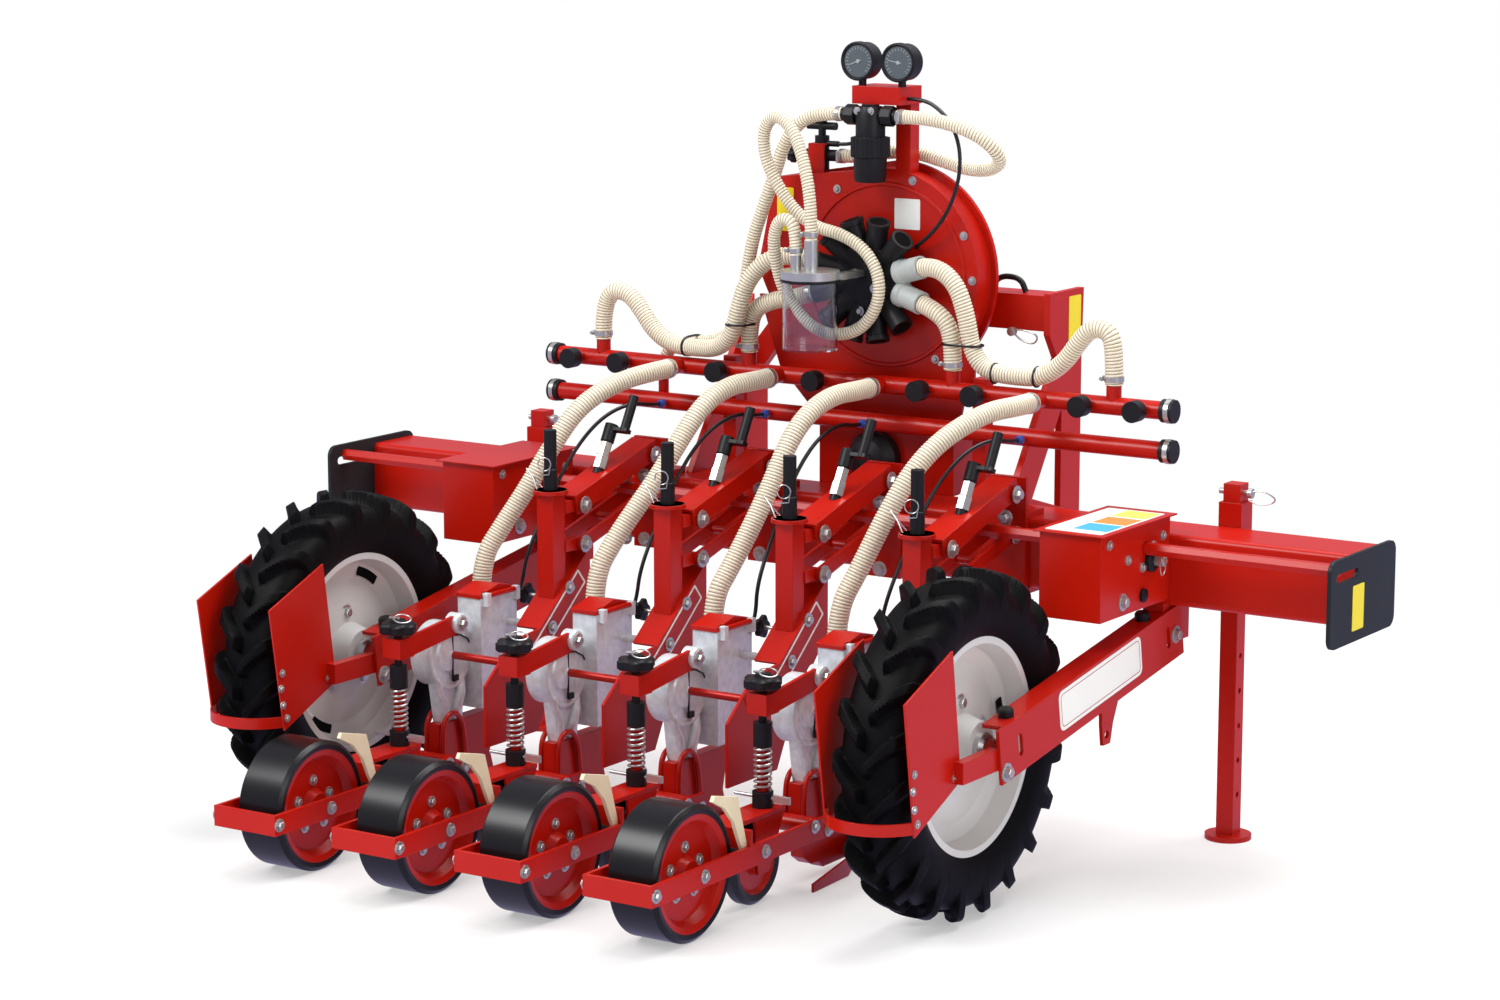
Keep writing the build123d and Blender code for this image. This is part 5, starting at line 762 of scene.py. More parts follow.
# Press-wheel yokes: bolts on the bars, cream scraper blades ahead of the tyres and hoops beside the outlets.
# The blades are bare moulded polythene on a foot at the bar; the hoops are bent round bar in red enamel.
cream_plastic = finish("cream_polythene", {"Roughness": 0.45, "Subsurface Weight": 0.1},
                       (0.03, "#eee3c6", "#e4d6b4"))
BLADE = ((-0.578, 0.252), (-0.540, 0.232), (-0.510, 0.200), (-0.492, 0.160), (-0.474, 0.128), (-0.462, 0.132),
         (-0.478, 0.180), (-0.498, 0.244), (-0.572, 0.262))
BLADE_X, BLADE_THICK = 0.0585, 0.008
HOOP = ((-0.204, 0.112), (-0.203, 0.180), (-0.197, 0.202), (-0.182, 0.215), (-0.162, 0.214), (-0.147, 0.202),
        (-0.138, 0.182), (-0.128, 0.112))
HOOP_X, HOOP_RADIUS = 0.021, 0.0055
YOKE_BOLTS = ((-0.618, 0.126), (-0.770, 0.126), (-0.252, 0.134), (-0.205, 0.118), (-0.420, 0.126))
YOKE_FACE, YOKE_BOLT = 0.075, 0.013


def cut_corners(points, times):
    """Chaikin's corner cutting: each run gives its quarter and three-quarter points; the ends stay."""
    points = np.array(points, float)
    for number in range(times):
        near = 0.75 * points[:-1] + 0.25 * points[1:]
        far = 0.25 * points[:-1] + 0.75 * points[1:]
        points = np.concatenate([points[:1], np.stack([near, far], 1).reshape(-1, 2), points[-1:]])
    return points


blade_parts = [slab(BLADE, (seed + BLADE_X, 0, 0), AHEAD, UP, BLADE_THICK) for seed in seed_x]
piece("wheel_blades", blade_parts, cream_plastic, crease=30)
hoop = cut_corners(HOOP, 2)
hoop_parts = [tube(np.insert(hoop, 0, seed + off, 1), HOOP_RADIUS, 12)
              for seed in seed_x for off in (-HOOP_X, HOOP_X)]
piece("outlet_hoops", hoop_parts, red_enamel, crease=40)
bolts("yoke_bolts", [(seed + YOKE_FACE, *place) for seed in seed_x for place in YOKE_BOLTS], RIGHT, YOKE_BOLT)
left_places = [(seed - YOKE_FACE, *place) for seed in seed_x for place in YOKE_BOLTS[:2]]
bolts("yoke_bolts_left", left_places, LEFT, YOKE_BOLT)

# Ground tyres: cross-ply farm tyres with open chevron lugs, moulded in black rubber.
# Each lug is a bar that leans back from the middle to the shoulder, and runs a little down the side.
TYRE_AXLE = (-0.220, 0.325)
TYRE_X = {"left": -0.785, "right": 0.649}
CARCASS = ((0.0, 0.302), (0.022, 0.3015), (0.043, 0.298), (0.058, 0.289), (0.0665, 0.272), (0.0685, 0.252),
           (0.066, 0.231), (0.058, 0.213), (0.0525, 0.2045), (0.050, 0.196))
LUG_TOPS = ((0.0, 0.3245), (0.022, 0.3245), (0.045, 0.3225), (0.064, 0.313), (0.0688, 0.292), (0.0690, 0.262),
            (0.066, 0.231), (0.058, 0.213), (0.0525, 0.2045), (0.050, 0.196))
LUG_COUNT = 20
LUG_HALF, LUG_RAMP = 0.0105, 0.0045
LUG_LEAN = 0.235          # turn of a lug from the middle of the tread to the shoulder, radians
LUG_MIDDLE = 0.53         # share of the half width where the lug's phase is set
LUG_START, LUG_START_RAMP = 0.03, 0.06    # shares of the half width over which a lug rises from the middle
TREAD_RADIUS = 0.31       # where a lug's thickness is measured
TYRE_HALF = 0.069
TYRE_STEPS = 720
tyre_rubber = finish("tyre_rubber", {"Roughness": 0.52, "Specular IOR Level": 0.1},
                     (0.08, "#050506", "#0a0b0c", 6.0), (0.003, 0.00012, 0.002))


def both_sides(half):
    """A half section carried over to the other side of the wheel."""
    mirrored = half[:0:-1] * np.array([-1, 1])
    return np.concatenate([mirrored, half])


def ramp(value):
    """Smooth step: 3 t^2 - 2 t^3 on values held between 0 and 1."""
    value = np.clip(value, 0, 1)
    return value * value * (3 - 2 * value)


carcass = both_sides(cut_corners(CARCASS, 2))
tops = both_sides(cut_corners(LUG_TOPS, 2))
turn = turns(TYRE_STEPS)
reach = np.abs(carcass[:, 0]) / TYRE_HALF
lug_step = 2 * np.pi / LUG_COUNT
lug_line = np.pi / 2 + (carcass[:, 0] > 0) * lug_step / 2 + LUG_LEAN * (LUG_MIDDLE - reach)
from_line = (turn[:, None] - lug_line[None] + lug_step / 2) % lug_step - lug_step / 2
lean_cosine = np.cos(np.arctan(LUG_LEAN * TREAD_RADIUS / TYRE_HALF))
lug = ramp((LUG_HALF + LUG_RAMP / 2 - np.abs(from_line) * TREAD_RADIUS * lean_cosine) / LUG_RAMP)
lug = lug * ramp((reach[None] - LUG_START) / LUG_START_RAMP)
section = carcass[None] + lug[:, :, None] * (tops - carcass)[None]
across_tyre, from_axle = section[:, :, 0], section[:, :, 1]
cosine, sine = np.cos(turn)[:, None], np.sin(turn)[:, None]
tyre_surface = np.stack([across_tyre, from_axle * cosine, from_axle * sine], 2)
tyre_faces = quads(TYRE_STEPS, len(carcass), True, True)
for side, x in TYRE_X.items():
    tyre_mesh = ((tyre_surface + (x, *TYRE_AXLE)).reshape(-1, 3), tyre_faces)
    tyre = piece("lugged_tyre_" + side, [tyre_mesh], tyre_rubber, "ground_wheel_" + side, 50)
    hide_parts("ground_tyre_" + side)

# Ground rims: pressed steel discs welded into drop-centre rims, in pale grey enamel.
# Two vent slots lie between disc and rim, each filled with a thin black sheet of painted shade where the slot
# opens through the disc, and five nuts hold the disc to the hub.
rim_enamel = finish("grey_rim_enamel", {"Roughness": 0.32, "Coat Weight": 0.4, "Coat Roughness": 0.08},
                    (0.15, "#d4d3d1", "#cac9c7"), (0.006, 0.00003, 0.004))
dress(rim_enamel, "ground_rim_left", "ground_rim_right")
# Painted shade: a flat near-black finish that stands for the shade seen through the rim's vent slots and down
# the hub's open bores.
hole_shade_paint = finish("painted_hole_shade", {"Roughness": 0.8, "Specular IOR Level": 0.1}, (0.05, "#060606", "#0a0a0b"))
SLOT_TURN = {"left": 62, "right": 8}      # degrees from the front, as the wheels stand
SLOT_COUNT, SLOT_INNER, SLOT_OUTER = 2, 0.153, 0.172
SLOT_ARC = np.linspace(-0.20, 0.20, 14)
SLOT_FACE, SLOT_THICK = 0.0085, 0.0016
NUT_COUNT, NUT_CIRCLE, NUT_FACE, NUT_SIZE = 5, 0.078, 0.0155, 0.017
HUB_CAP = ((0.030, 0), (0.030, 0.010), (0.024, 0.018), (0, 0.020))
HUB_CAP_START = 0.060


def around(centre, radius, angle):
    """A place on a circle about an axle along X, from its (y, z) centre."""
    return centre[0] + radius * np.cos(angle), centre[1] + radius * np.sin(angle)


for side, x in TYRE_X.items():
    slot_shade_parts = []
    for number in range(SLOT_COUNT):
        angle = np.radians(SLOT_TURN[side] + 360 / SLOT_COUNT * number) + SLOT_ARC
        outer = np.stack(around((0, 0), SLOT_OUTER, angle), 1)
        inner = np.stack(around((0, 0), SLOT_INNER, angle[::-1]), 1)
        outline = cut_corners(np.concatenate([outer, inner, outer[:1]]), 1)[:-1]
        # Each slot is a black sheet just proud of the disc: painted shade, not an opening.
        slot_shade_parts.append(slab(outline, (x + SLOT_FACE, *TYRE_AXLE), AHEAD, UP, SLOT_THICK))
    nut_parts = [turned(HUB_CAP, (x + HUB_CAP_START, *TYRE_AXLE), RIGHT, 32)]
    for angle in np.pi / 2 + turns(NUT_COUNT):
        nut_parts += bolt((x + NUT_FACE, *around(TYRE_AXLE, NUT_CIRCLE, angle)), RIGHT, NUT_SIZE)
    piece("rim_slot_shade_" + side, slot_shade_parts, hole_shade_paint, "ground_wheel_" + side)
    piece("wheel_nuts_" + side, nut_parts, zinc_plate, "ground_wheel_" + side, 20)

# Press wheels: smooth rubber tyres on stamped discs.
# The rubber is shiny from handling, and five bolts clamp the two halves of each disc.
PRESS_AXLE = (-0.618, 0.126)
PRESS_FACE, PRESS_CIRCLE, PRESS_BOLT, PRESS_BOLTS = 0.031, 0.048, 0.011, 5
PRESS_TURN = 18           # degrees from the front to the first bolt
smooth_rubber = finish("smooth_wheel_rubber", {"Roughness": 0.3, "Specular IOR Level": 0.4},
                       (0.06, "#0a0b0c", "#111214"), (0.004, 0.00005, 0.003))
for number, seed in enumerate(seed_x, start=1):
    dress(smooth_rubber, "press_tyre_%d" % number)
    places = [(seed + PRESS_FACE, *around(PRESS_AXLE, PRESS_CIRCLE, angle))
              for angle in np.radians(PRESS_TURN) + turns(PRESS_BOLTS)]
    bolts("disc_bolts_%d" % number, places, RIGHT, PRESS_BOLT, "press_wheel_%d" % number)

# Firming wheels: a stamped disc in red enamel with a black rubber band bonded round it.
# The band starts at the disc's rim, found by the distance from the axle.
FIRMING_AXLE = (-0.355, 0.080)
BAND_START = 0.0600
DISC_ROUGH, BAND_ROUGH = 0.28, 0.40
FIRMING_GRAIN = (0.004, 0.00004, 0.002)
banded, tree, shader, place = new_finish("red_disc_with_rubber_band", {})
from_axle = add_node(tree, "ShaderNodeVectorMath", {0: place, 1: (0, *FIRMING_AXLE)}, operation="SUBTRACT")
flat = add_node(tree, "ShaderNodeVectorMath", {0: from_axle.outputs[0], 1: (0, 1, 1)}, operation="MULTIPLY")
radius = add_node(tree, "ShaderNodeVectorMath", {0: flat.outputs[0]}, operation="LENGTH").outputs["Value"]
on_band = add_node(tree, "ShaderNodeMath", {0: radius, 1: BAND_START}, operation="GREATER_THAN").outputs[0]
band_colour = add_node(tree, "ShaderNodeMixRGB", {"Fac": on_band, "Color1": linear(ENAMEL_RED),
                                                  "Color2": linear("#17181a")})
band_rough = add_node(tree, "ShaderNodeMath", {0: on_band, 1: BAND_ROUGH - DISC_ROUGH, 2: DISC_ROUGH},
                      operation="MULTIPLY_ADD")
link(tree, shader, Base_Color=band_colour.outputs["Color"], Roughness=band_rough.outputs[0],
     Normal=grained(tree, place, *FIRMING_GRAIN))
dress(banded, *["firming_wheel_%d" % number for number in range(1, UNIT_COUNT + 1)])

# Wheel arms and scrapers: blank sign on the right arm, black plugs on the flanges, bolts through the plates.
# The sign is a white plate with a thin printed line inside its edge.
ARM_SLOPE = 9.0
ARM_FACE = 0.7705
ARM_SIGN = (0.125, 0.386)
ARM_SIGN_SIZE, ARM_SIGN_THICK = (0.326, 0.078, 0.014), 0.0008
ARM_LINE, ARM_LINE_INSIDE, ARM_LINE_THICK = (0.312, 0.064, 0.009), (0.3095, 0.0615, 0.008), 0.0003
ARM_PLUG = ((0.015, -0.002), (0.015, 0.010), (0.012, 0.014), (0, 0.015))
ARM_PLUG_X, ARM_PLUGS = 0.095, ((-0.190, 0.384), (0.340, 0.468))      # from the tyre's middle
SCRAPER_X, SCRAPER_BOLT = 0.094, 0.008
SCRAPER_BOLTS = ((-0.500, 0.250), (-0.511, 0.278), (-0.516, 0.312), (-0.512, 0.342), (-0.372, 0.306))
ARM_BOLT_X, ARM_BOLT, ARM_BOLTS = 0.1215, 0.018, ((-0.232, 0.290), (0.430, 0.424))
arm_right, arm_up = sloped(ARM_SLOPE)
arm_sign = slab(rounded(*ARM_SIGN_SIZE), (ARM_FACE, *ARM_SIGN), arm_right, arm_up, ARM_SIGN_THICK)
piece("arm_sign", [arm_sign], white_film)
arm_line = ring_plate(rounded(*ARM_LINE), rounded(*ARM_LINE_INSIDE), (ARM_FACE + ARM_SIGN_THICK, *ARM_SIGN),
                      arm_right, arm_up, ARM_LINE_THICK)
piece("arm_sign_line", [arm_line], red_enamel)
sides = TYRE_X.values()
plug_parts = [turned(ARM_PLUG, (x + ARM_PLUG_X, *plug), arm_up, 20) for x in sides for plug in ARM_PLUGS]
piece("arm_plugs", plug_parts, black_plastic)
scraper_places = [(x + SCRAPER_X, *place) for x in sides for place in SCRAPER_BOLTS]
bolts("scraper_bolts", scraper_places, RIGHT, SCRAPER_BOLT)
bolts("arm_bolts", [(x + ARM_BOLT_X, *place) for x in sides for place in ARM_BOLTS], RIGHT, ARM_BOLT)

# Drive boxes: bolts on the sides, a gear chart on the right lid, and the change gear's shaft end beside it.
# The chart is a white sheet with plain yellow, orange and blue blocks; each shaft end has a clip and a boss.
BOX_SIDES = (-0.636, 0.779)               # the boxes' right faces
LID_TOP = 0.671
CHART = np.array([0.714, 0.238, LID_TOP])
CHART_SIZE, CHART_SHEET = (0.122, 0.258, 0.004), 0.0007
CHART_BLOCK, CHART_PRINT = (0.072, 0.068, 0.001), 0.0003
CHART_BLOCK_X = 0.020
CHART_COLOURS = {"yellow": ("#d9dd62", 0.088), "orange": ("#dd8a3c", 0.010), "blue": ("#38a9d8", -0.066)}
BOX_BOLT = 0.010
BOX_BOLTS = ((0.132, 0.648), (0.208, 0.607), (0.312, 0.619), (0.268, 0.584), (0.350, 0.633))
GEAR_BOSS, GEAR_CENTRE = ((0.023, 0), (0.023, 0.008), (0.018, 0.012), (0, 0.012)), (0.300, 0.594)
SMALL_BOSS, SMALL_CENTRE = ((0.013, 0), (0.013, 0.006), (0.008, 0.008), (0, 0.008)), (0.270, 0.530)
SHAFT_END = ((0.011, 0.010), (0.011, 0.030), (0.008, 0.033), (0, 0.033))
SHAFT_CLIP, SHAFT_CLIP_WAY = (0.026, 0.302, 0.584), (1, 0.2, 0)
SHAFT_CLIP_RADIUS, SHAFT_CLIP_WIRE = 0.018, 0.0014
LOW_BOLT, LOW_BOLT_SIZE = (0.190, 0.530), 0.017
piece("chart_sheet", [slab(rounded(*CHART_SIZE), CHART, RIGHT, AHEAD, CHART_SHEET)], white_film)
for colour, (code, along) in CHART_COLOURS.items():
    printed = finish("printed_" + colour, {"Roughness": 0.4}, (0.05, code, code))
    middle = CHART + (CHART_BLOCK_X, along, CHART_SHEET)
    piece("chart_" + colour, [slab(rounded(*CHART_BLOCK), middle, RIGHT, AHEAD, CHART_PRINT)], printed)
bolts("box_bolts", [(side, *place) for side in BOX_SIDES for place in BOX_BOLTS], RIGHT, BOX_BOLT)
boss_parts = []
shaft_parts = []
for side in BOX_SIDES:
    boss_parts.append(turned(GEAR_BOSS, (side, *GEAR_CENTRE), RIGHT, 28))
    boss_parts.append(turned(SMALL_BOSS, (side, *SMALL_CENTRE), RIGHT, 20))
    shaft_parts.append(turned(SHAFT_END, (side, *GEAR_CENTRE), RIGHT, 6))
    clip = np.add(SHAFT_CLIP, (side, 0, 0))
    shaft_parts.append(loop(clip, SHAFT_CLIP_WAY, SHAFT_CLIP_RADIUS, SHAFT_CLIP_WIRE, 24, 6))
    shaft_parts += bolt((side, *LOW_BOLT), RIGHT, LOW_BOLT_SIZE)
piece("box_bosses", boss_parts, black_plastic)
piece("box_shaft_ends", shaft_parts, zinc_plate, crease=25)

# Fan: a raised ring and bolts on its rear face, a sheet bracket for the relief valve, and blank plates.
# Three plates are yellow, on the fan, the hitch post and the end plate, and one is white; none is printed on.
yellow_film = finish("printed_yellow_film", {"Roughness": 0.4}, (0.05, "#f0dc1c", "#e8d016"))
FAN_FACE = 0.520
FAN_CENTRE = (0.052, FAN_FACE, 1.070)
FAN_RING = ((0.190, 0), (0.188, 0.004), (0.182, 0.004), (0.180, 0))
FAN_CIRCLE, FAN_BOLT = 0.204, 0.009
FAN_BOLT_TURNS = np.radians((26, 0, -26, -54, 72))
FAN_SCROLL_BOLTS = ((-0.064, FAN_FACE, 1.238), (-0.224, FAN_FACE, 1.106))
PLATE_THICK = 0.0008
PLATES = (                # name, film, width, height, middle and the way across each plate
    ("fan_plate_yellow", yellow_film, 0.040, 0.090, (-0.190, FAN_FACE, 1.190), RIGHT),
    ("fan_plate_white", white_film, 0.060, 0.062, (0.103, FAN_FACE, 1.196), RIGHT),
    ("post_plate", yellow_film, 0.050, 0.092, (0.389, 0.706, 0.985), AHEAD),
    ("end_plate_sign", yellow_film, 0.050, 0.086, (1.185, 0.352, 0.540), AHEAD),
)
PLATE_CORNER = 0.003
BRACKET_THICK = 0.003
BRACKET_LEG, BRACKET_LEG_SIZE = (-0.127, 0.5405, 1.292), (0.038, 0.070, 0.002)
BRACKET_SEAT, BRACKET_SEAT_SIZE = (-0.127, 0.556, 1.324), (0.036, 0.038, 0.002)
VALVE_KNOB = ((0.010, 0), (0.010, 0.012), (0.026, 0.013), (0.027, 0.018), (0.024, 0.022), (0, 0.023))
VALVE_TOP, VALVE_END = (-0.125, 0.558, 1.366), (-0.187, 0.558, 1.302)
VALVE_CAP = (0.017, 0.016, 8)             # radius, thickness and lobes
piece("fan_ring", [turned(FAN_RING, FAN_CENTRE, REAR, 72)], red_enamel)
fan_places = [(FAN_CENTRE[0] + FAN_CIRCLE * np.cos(turn), FAN_FACE, FAN_CENTRE[2] + FAN_CIRCLE * np.sin(turn))
              for turn in FAN_BOLT_TURNS]
bolts("fan_bolts", [*fan_places, *FAN_SCROLL_BOLTS], REAR, FAN_BOLT)
for name, film, width, height, middle, way in PLATES:
    piece(name, [slab(rounded(width, height, PLATE_CORNER), middle, way, UP, PLATE_THICK)], film)
bracket_parts = [slab(rounded(*BRACKET_LEG_SIZE), BRACKET_LEG, RIGHT, UP, BRACKET_THICK),
                 slab(rounded(*BRACKET_SEAT_SIZE), BRACKET_SEAT, RIGHT, AHEAD, BRACKET_THICK)]
piece("valve_bracket", bracket_parts, red_enamel)
valve_parts = [turned(VALVE_KNOB, VALVE_TOP, UP, 40), star(VALVE_END, LEFT, *VALVE_CAP)]
piece("valve_knobs", valve_parts, black_plastic, crease=40)

# Suction hub: black discs of painted shade in the bores of the free nozzles, grey cuffs on two hoses and a
# rib round each free nozzle's lip.
# The bores show as flat dark rounds inside the moulded rims, painted shade for the depth of each bore.
grey_cuff = finish("grey_cuff", {"Roughness": 0.5}, (0.02, "#b3b9b8", "#a6acab"))
NOZZLE_RIM = ((0.0225, -0.010), (0.0245, -0.009), (0.0245, 0.001), (0.0185, 0.001), (0.0185, -0.001))
NOZZLE_BORE_SHADE = ((0.0185, 0.0003), (0, 0.0003))
CUFF = ((0.0190, 0.016), (0.0235, 0.016), (0.0235, -0.030), (0.0265, -0.034), (0.0265, -0.046),
        (0.0220, -0.046))
HUB_BOLT, HUB_BOLTS = 0.010, ((0.064, 0.458, 1.048), (0.030, 0.458, 1.000), (0.018, 0.458, 1.076))
used_nozzles = [nozzle for nozzle, port, corner, between in FAN_ROUTES]
cuff_parts = []
rim_parts = []
bore_shade_parts = []
for number in range(NOZZLE_COUNT):
    way = nozzle_way(number)
    tip = HUB + NOZZLE_REACH * way
    if number in CUFFED:
        cuff_parts.append(turned(CUFF, tip, way, 36))
    if number not in used_nozzles:
        rim_parts.append(turned(NOZZLE_RIM, tip, way, 32))
        # Each bore is a flat black disc at the nozzle's tip: painted shade, not an opening.
        bore_shade_parts.append(turned(NOZZLE_BORE_SHADE, tip, way, 32))
piece("hose_cuffs", cuff_parts, grey_cuff)
bolts("hub_bolts", HUB_BOLTS, REAR, HUB_BOLT)
piece("nozzle_rims", rim_parts, black_plastic)
piece("nozzle_bore_shade", bore_shade_parts, hole_shade_paint)

# Gauges: two vacuum dials in black bezels over the mast.
# Each has a dark grey face with plain pale ticks round three quarters of it, and a pale needle on a pivot.
grey_dial = finish("grey_dial", {"Roughness": 0.3}, (0.05, "#4c5459", "#575f64"))
pale_print = finish("pale_print", {"Roughness": 0.4}, (0.05, "#9aa2a6", "#939b9f"))
GAUGES = ((0.013, 200), (0.107, 170))     # place along X, and the needle's turn in degrees
GAUGE_Y, GAUGE_Z = 0.474, 1.503
DIAL = ((0.0325, 0), (0.0325, 0.0008), (0, 0.0008))
BEZEL = ((0.0375, -0.010), (0.0395, -0.008), (0.0395, 0.003), (0.036, 0.005), (0.0325, 0.002), (0.0325, 0))
TICK_TURNS = np.linspace(-45, 225, 19)
TICK, TICK_OUT, TICK_THICK = (0.0235, 0.0295, 0.0006), 0.0008, 0.0003
NEEDLE = ((-0.007, -0.0014), (0.025, -0.0006), (0.025, 0.0006), (-0.007, 0.0014))
NEEDLE_OUT, NEEDLE_THICK = 0.0014, 0.0006
PIVOT = ((0.004, 0), (0.004, 0.003), (0, 0.003))


def on_dial(outline, centre, degrees, out, thick):
    """A flat mark on a dial, turned about its centre and standing out to the rear."""
    turn = np.radians(degrees)
    right = (np.cos(turn), 0, np.sin(turn))
    up = (-np.sin(turn), 0, np.cos(turn))
    return slab(outline, np.subtract(centre, (0, out, 0)), right, up, thick)


face_parts = []
bezel_parts = []
mark_parts = []
for x, needle_turn in GAUGES:
    centre = (x, GAUGE_Y, GAUGE_Z)
    face_parts.append(turned(DIAL, centre, REAR, 48))
    bezel_parts.append(turned(BEZEL, centre, REAR, 48))
    mark_parts += [on_dial(oblong(*TICK), centre, turn, TICK_OUT, TICK_THICK) for turn in TICK_TURNS]
    mark_parts.append(on_dial(NEEDLE, centre, needle_turn, NEEDLE_OUT, NEEDLE_THICK))
    mark_parts.append(turned(PIVOT, centre, REAR, 16))
piece("gauge_faces", face_parts, grey_dial)
piece("gauge_bezels", bezel_parts, black_plastic)
piece("gauge_marks", mark_parts, pale_print, crease=30)

# Manifolds, filter and ties: zinc bands on the end caps, the filter's ribbed collar and bowl, and black ties.
# Each tie is a nylon strip pulled round hoses that run together; the filter's port nuts have eight sides.
CAP_BAND = ((0.0225, -0.005), (0.0242, -0.005), (0.0242, 0.005), (0.0225, 0.005))
CAP_X = 0.735
FILTER = np.array([0.045, 0.470, 0])
FILTER_COLLAR = ((0.030, 1.312), (0.038, 1.313), (0.038, 1.352), (0.030, 1.354))
FILTER_BOWL = ((0.034, 1.312), (0.0325, 1.268), (0.029, 1.262), (0, 1.260))
FILTER_HEAD = ((0.0300, 1.354), (0.0300, 1.400), (0.0240, 1.414), (0, 1.416))
COLLAR_RIBS, COLLAR_RIB = 24, 0.05
PORT_NUT = ((0.0185, 0), (0.021, 0.002), (0.021, 0.024), (0.0185, 0.026))
PORT_X, PORT_Z, PORT_NUT_SIDES = 0.030, 1.396, 8
FILTER_BOLT, FILTER_BOLTS = 0.008, ((0.028, 0.447, 1.406), (0.060, 0.447, 1.406))
TIES = (                  # middle, two ways across the hoses and the half sizes along them
    ((0.2715, 0.4575, 0.950), RIGHT, AHEAD, 0.0430, 0.0205),
    ((-0.2440, 0.4395, 0.957), RIGHT, AHEAD, 0.0250, 0.0385),
    ((-0.3900, 0.4710, 0.897), AHEAD, UP, 0.0405, 0.0200),
)
TIE_HALF, TIE_SAMPLES = 0.0026, 48
SINGLE_TIES = ((0.345, 0.4585, 0.8975), (0.440, 0.4600, 0.8980))
SINGLE_RADIUS, SINGLE_HALF = 0.0195, 0.0024


def tie(middle, first_way, second_way, first_half, second_half):
    """A strip along the superellipse |x / a|^3 + |y / b|^3 = 1, which hugs hoses side by side."""
    angle = turns(TIE_SAMPLES)
    cosine, sine = np.cos(angle), np.sin(angle)
    reach = (np.abs(cosine) ** 3 + np.abs(sine) ** 3) ** (-1 / 3)
    line = np.asarray(middle) + (first_half * reach * cosine)[:, None] * np.asarray(first_way)
    return tube(line + (second_half * reach * sine)[:, None] * np.asarray(second_way), TIE_HALF, 6, True)


cap_parts = [turned(CAP_BAND, (x, MANIFOLD_Y, z), RIGHT, 36)
             for x in (-CAP_X, CAP_X) for z in (LOW_MANIFOLD, TOP_MANIFOLD)]
piece("cap_bands", cap_parts, zinc_plate)
filter_parts = [turned(FILTER_COLLAR, FILTER, UP, 144,
                       lambda angle: 1 + COLLAR_RIB * (np.cos(COLLAR_RIBS * angle) > 0)),
                turned(FILTER_BOWL, FILTER, UP, 40), turned(FILTER_HEAD, FILTER, UP, 36)]
for side in (-1, 1):
    port = FILTER + (side * PORT_X, 0, PORT_Z)
    filter_parts.append(turned(PORT_NUT, port, (side, 0, 0), PORT_NUT_SIDES))
piece("filter_details", filter_parts, black_plastic, crease=30)
bolts("filter_bolts", FILTER_BOLTS, REAR, FILTER_BOLT)
tie_parts = [tie(*row) for row in TIES]
tie_parts += [loop(centre, RIGHT, SINGLE_RADIUS, SINGLE_HALF, 32, 6) for centre in SINGLE_TIES]
piece("hose_ties", tie_parts, black_pipe, crease=60)

# Jar: clear moulded acrylic under a zinc-plated lid, on a black rubber ring.
# The walls are thin, so they show as bright edges and let the hose loop show through.
clear_acrylic = new_finish("clear_acrylic", {"Base Color": linear("#f4f8fa"), "Roughness": 0.03, "IOR": 1.49,
                                             "Transmission Weight": 1.0})[0]
dress(clear_acrylic, "jar")
GASKET = ((0.0565, -0.003), (0.0605, -0.003), (0.0605, 0.003), (0.0565, 0.003))
GASKET_CENTRE = (-0.024, 0.354, 1.0705)
piece("jar_gasket", [turned(GASKET, GASKET_CENTRE, UP, 56)], smooth_rubber)

# Parking stands and hitch: a locking pin with a wire bow at each leg's head, and a lynch pin on the top beam.
# The pins are zinc-plated, and each stand's pin slides with its leg; a black strap is bowed over the beam.
STANDS = {"left": -0.837, "right": 0.837}
STAND_Y, STAND_PIN_Z = 0.5445, 0.694
STAND_PIN, STAND_PIN_RADIUS = ((-0.034, 0, 0), (0.030, 0, 0)), 0.006
STAND_HEAD, STAND_HEAD_X = ((0, 0), (0.010, 0), (0.010, 0.008), (0, 0.009)), 0.028
STAND_BOW = ((0.030, 0.002), (0.060, 0.010), (0.094, -0.008), (0.060, -0.022), (0.030, -0.014))
STAND_WIRE = 0.0016
BOW_OUT = -0.004          # the wires hang this far behind their pins
LYNCH = np.array([0.300, 0.612, 0.962])
LYNCH_HEAD = ((0, 0), (0.009, 0), (0.009, 0.012), (0, 0.013))
LYNCH_BOW = ((0.0, 0.0), (0.020, -0.018), (0.052, -0.024), (0.060, -0.004), (0.030, 0.004), (0.010, 0.004))
LYNCH_WIRE = 0.0018
STRAP = ((0.236, 1.030), (0.240, 1.058), (0.262, 1.070), (0.300, 1.066), (0.312, 1.040))
STRAP_Y, STRAP_RADIUS = 0.640, 0.006


def bowed(outline, y):
    """A smooth line in the rear view through (x, z) corners, at one distance along Y."""
    return np.insert(cut_corners(outline, 3), 1, y, 1)


for side, x in STANDS.items():
    middle = np.array([x, STAND_Y, STAND_PIN_Z])
    stand_parts = [tube(middle + STAND_PIN, STAND_PIN_RADIUS, 14),
                   turned(STAND_HEAD, middle + (STAND_HEAD_X, 0, 0), RIGHT, 20),
                   tube(middle + bowed(STAND_BOW, BOW_OUT), STAND_WIRE, 6)]
    piece("stand_pin_" + side, stand_parts, zinc_plate, "stand_" + side, 40)
lynch_parts = [turned(LYNCH_HEAD, LYNCH, REAR, 20), tube(LYNCH + bowed(LYNCH_BOW, BOW_OUT), LYNCH_WIRE, 6)]
piece("lynch_pin", lynch_parts, zinc_plate, crease=40)
strap = tube(bowed(STRAP, STRAP_Y), STRAP_RADIUS, 10)
piece("beam_strap", [strap], black_plastic, crease=50)

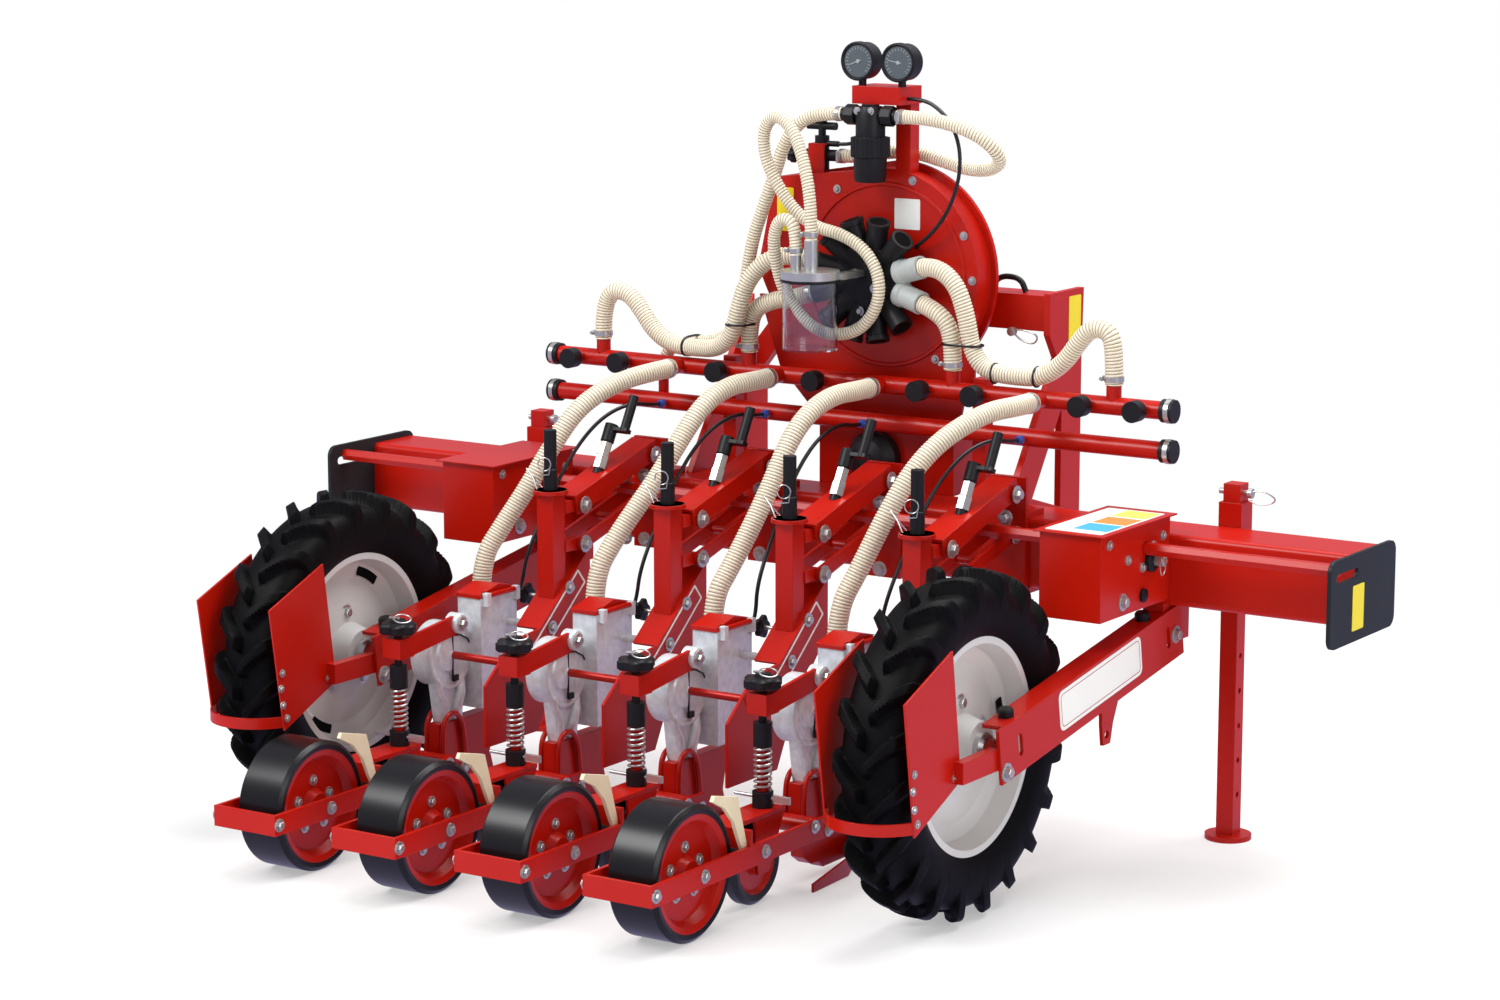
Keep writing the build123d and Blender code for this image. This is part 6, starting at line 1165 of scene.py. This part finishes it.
# Studio: a pale floor that runs into a white surround, with broad soft lamps at a plain level.
# Camera and transmitted rays see the far floor and the surround as white.
# Glossy rays see a dimmer, faintly violet floor and surround, which gives the enamel its cool reflections.
FLOOR_SIZE = 60.0
FLOOR_GLOW = 0.4          # share of white in the floor under the machine, which keeps its shadow light
FLOOR_FADE = (1.7, 3.0)   # distances from the middle where the floor starts and ends its fade to white
FLOOR_MIRRORED, FLOOR_MIRRORED_LIGHT = "#c2bce6", 0.85
AROUND_LIGHT = 0.42
AROUND_MIRRORED = "#e6e0f4"
floor_inputs = {"Base Color": linear("#f4f4f4"), "Roughness": 0.8, "Specular IOR Level": 0.1}
floor_finish, tree, shader, place = new_finish("studio_floor", floor_inputs)


def seen_rays(tree):
    """One for camera and transmitted rays, else nought."""
    rays = add_node(tree, "ShaderNodeLightPath").outputs
    seen = {0: rays["Is Camera Ray"], 1: rays["Is Transmission Ray"]}
    return add_node(tree, "ShaderNodeMath", seen, operation="MAXIMUM").outputs[0]


distance = add_node(tree, "ShaderNodeVectorMath", {0: place}, operation="LENGTH").outputs["Value"]
fade = add_node(tree, "ShaderNodeMapRange", {"Value": distance, "From Min": FLOOR_FADE[0],
                                             "From Max": FLOOR_FADE[1], "To Min": FLOOR_GLOW},
                interpolation_type="SMOOTHSTEP").outputs["Result"]
share = add_node(tree, "ShaderNodeMath", {0: fade, 1: seen_rays(tree)}, operation="MULTIPLY").outputs[0]
white = add_node(tree, "ShaderNodeEmission", {"Color": linear("#ffffff"), "Strength": 1.0})
blend = add_node(tree, "ShaderNodeMixShader", {0: share, 1: shader.outputs["BSDF"],
                                               2: white.outputs["Emission"]})
glossy = add_node(tree, "ShaderNodeLightPath").outputs["Is Glossy Ray"]
mirrored = add_node(tree, "ShaderNodeEmission", {"Color": linear(FLOOR_MIRRORED),
                                                 "Strength": FLOOR_MIRRORED_LIGHT})
blend = add_node(tree, "ShaderNodeMixShader", {0: glossy, 1: blend.outputs["Shader"],
                                               2: mirrored.outputs["Emission"]})
tree.links.new(blend.outputs["Shader"], tree.get_output_node("ALL").inputs["Surface"])
floor_mesh = bpy.data.meshes.new("studio_floor")
half = FLOOR_SIZE / 2
floor_corners = [(-half, -half, 0), (half, -half, 0), (half, half, 0), (-half, half, 0)]
floor_mesh.from_pydata(floor_corners, [], [(0, 1, 2, 3)])
floor_mesh.materials.append(floor_finish)
floor = bpy.data.objects.new("studio_floor", floor_mesh)
bpy.context.collection.objects.link(floor)

world = bpy.data.worlds.new("studio")
world.use_nodes = True
tree = world.node_tree
tree.nodes.clear()
strength = add_node(tree, "ShaderNodeMath", {0: seen_rays(tree), 1: 1 - AROUND_LIGHT, 2: AROUND_LIGHT},
                    operation="MULTIPLY_ADD")
glossy = add_node(tree, "ShaderNodeLightPath").outputs["Is Glossy Ray"]
tint = add_node(tree, "ShaderNodeMixRGB", {"Fac": glossy, "Color1": linear("#ffffff"),
                                           "Color2": linear(AROUND_MIRRORED)})
surround = add_node(tree, "ShaderNodeBackground", {"Color": tint.outputs["Color"],
                                                   "Strength": strength.outputs[0]})
add_node(tree, "ShaderNodeOutputWorld", {"Surface": surround.outputs["Background"]})
bpy.context.scene.world = world


def soft_lamp(name, place, target, size, power):
    """A rectangular area lamp that points at a target."""
    lamp = bpy.data.lights.new(name, "AREA")
    lamp.shape = "RECTANGLE"
    lamp.size, lamp.size_y = size
    lamp.energy = power
    holder = bpy.data.objects.new(name, lamp)
    bpy.context.collection.objects.link(holder)
    holder.location = place
    along, side, up = across(np.subtract(place, target))
    holder.rotation_euler = Matrix(np.stack([side, up, along], 1).tolist()).to_euler()


soft_lamp("key_lamp", (-3.0, -4.5, 5.5), (0, 0, 0.5), (4.0, 3.0), 380)
soft_lamp("top_lamp", (1.0, 1.5, 5.0), (0, 0.2, 0.5), (4.0, 4.0), 300)
soft_lamp("side_lamp", (6.0, -2.5, 2.6), (0.3, 0.2, 0.5), (3.0, 3.0), 90)

# Camera: a long lens behind the machine and to its right, higher than its top, as the photograph was taken.
# Its tilt and turn are in degrees.
CAMERA_PLACE = (3.968, -5.932, 1.968)
CAMERA_TILT, CAMERA_TURN = 10.253, 33.347
camera = bpy.data.cameras.new("photo_camera")
camera.lens = 89.44
camera.sensor_width = 36.0
viewer = bpy.data.objects.new("photo_camera", camera)
bpy.context.collection.objects.link(viewer)
viewer.location = CAMERA_PLACE
viewer.rotation_euler = np.radians((90 - CAMERA_TILT, 0, CAMERA_TURN))
bpy.context.scene.camera = viewer
bpy.context.scene.view_settings.view_transform = "Standard"
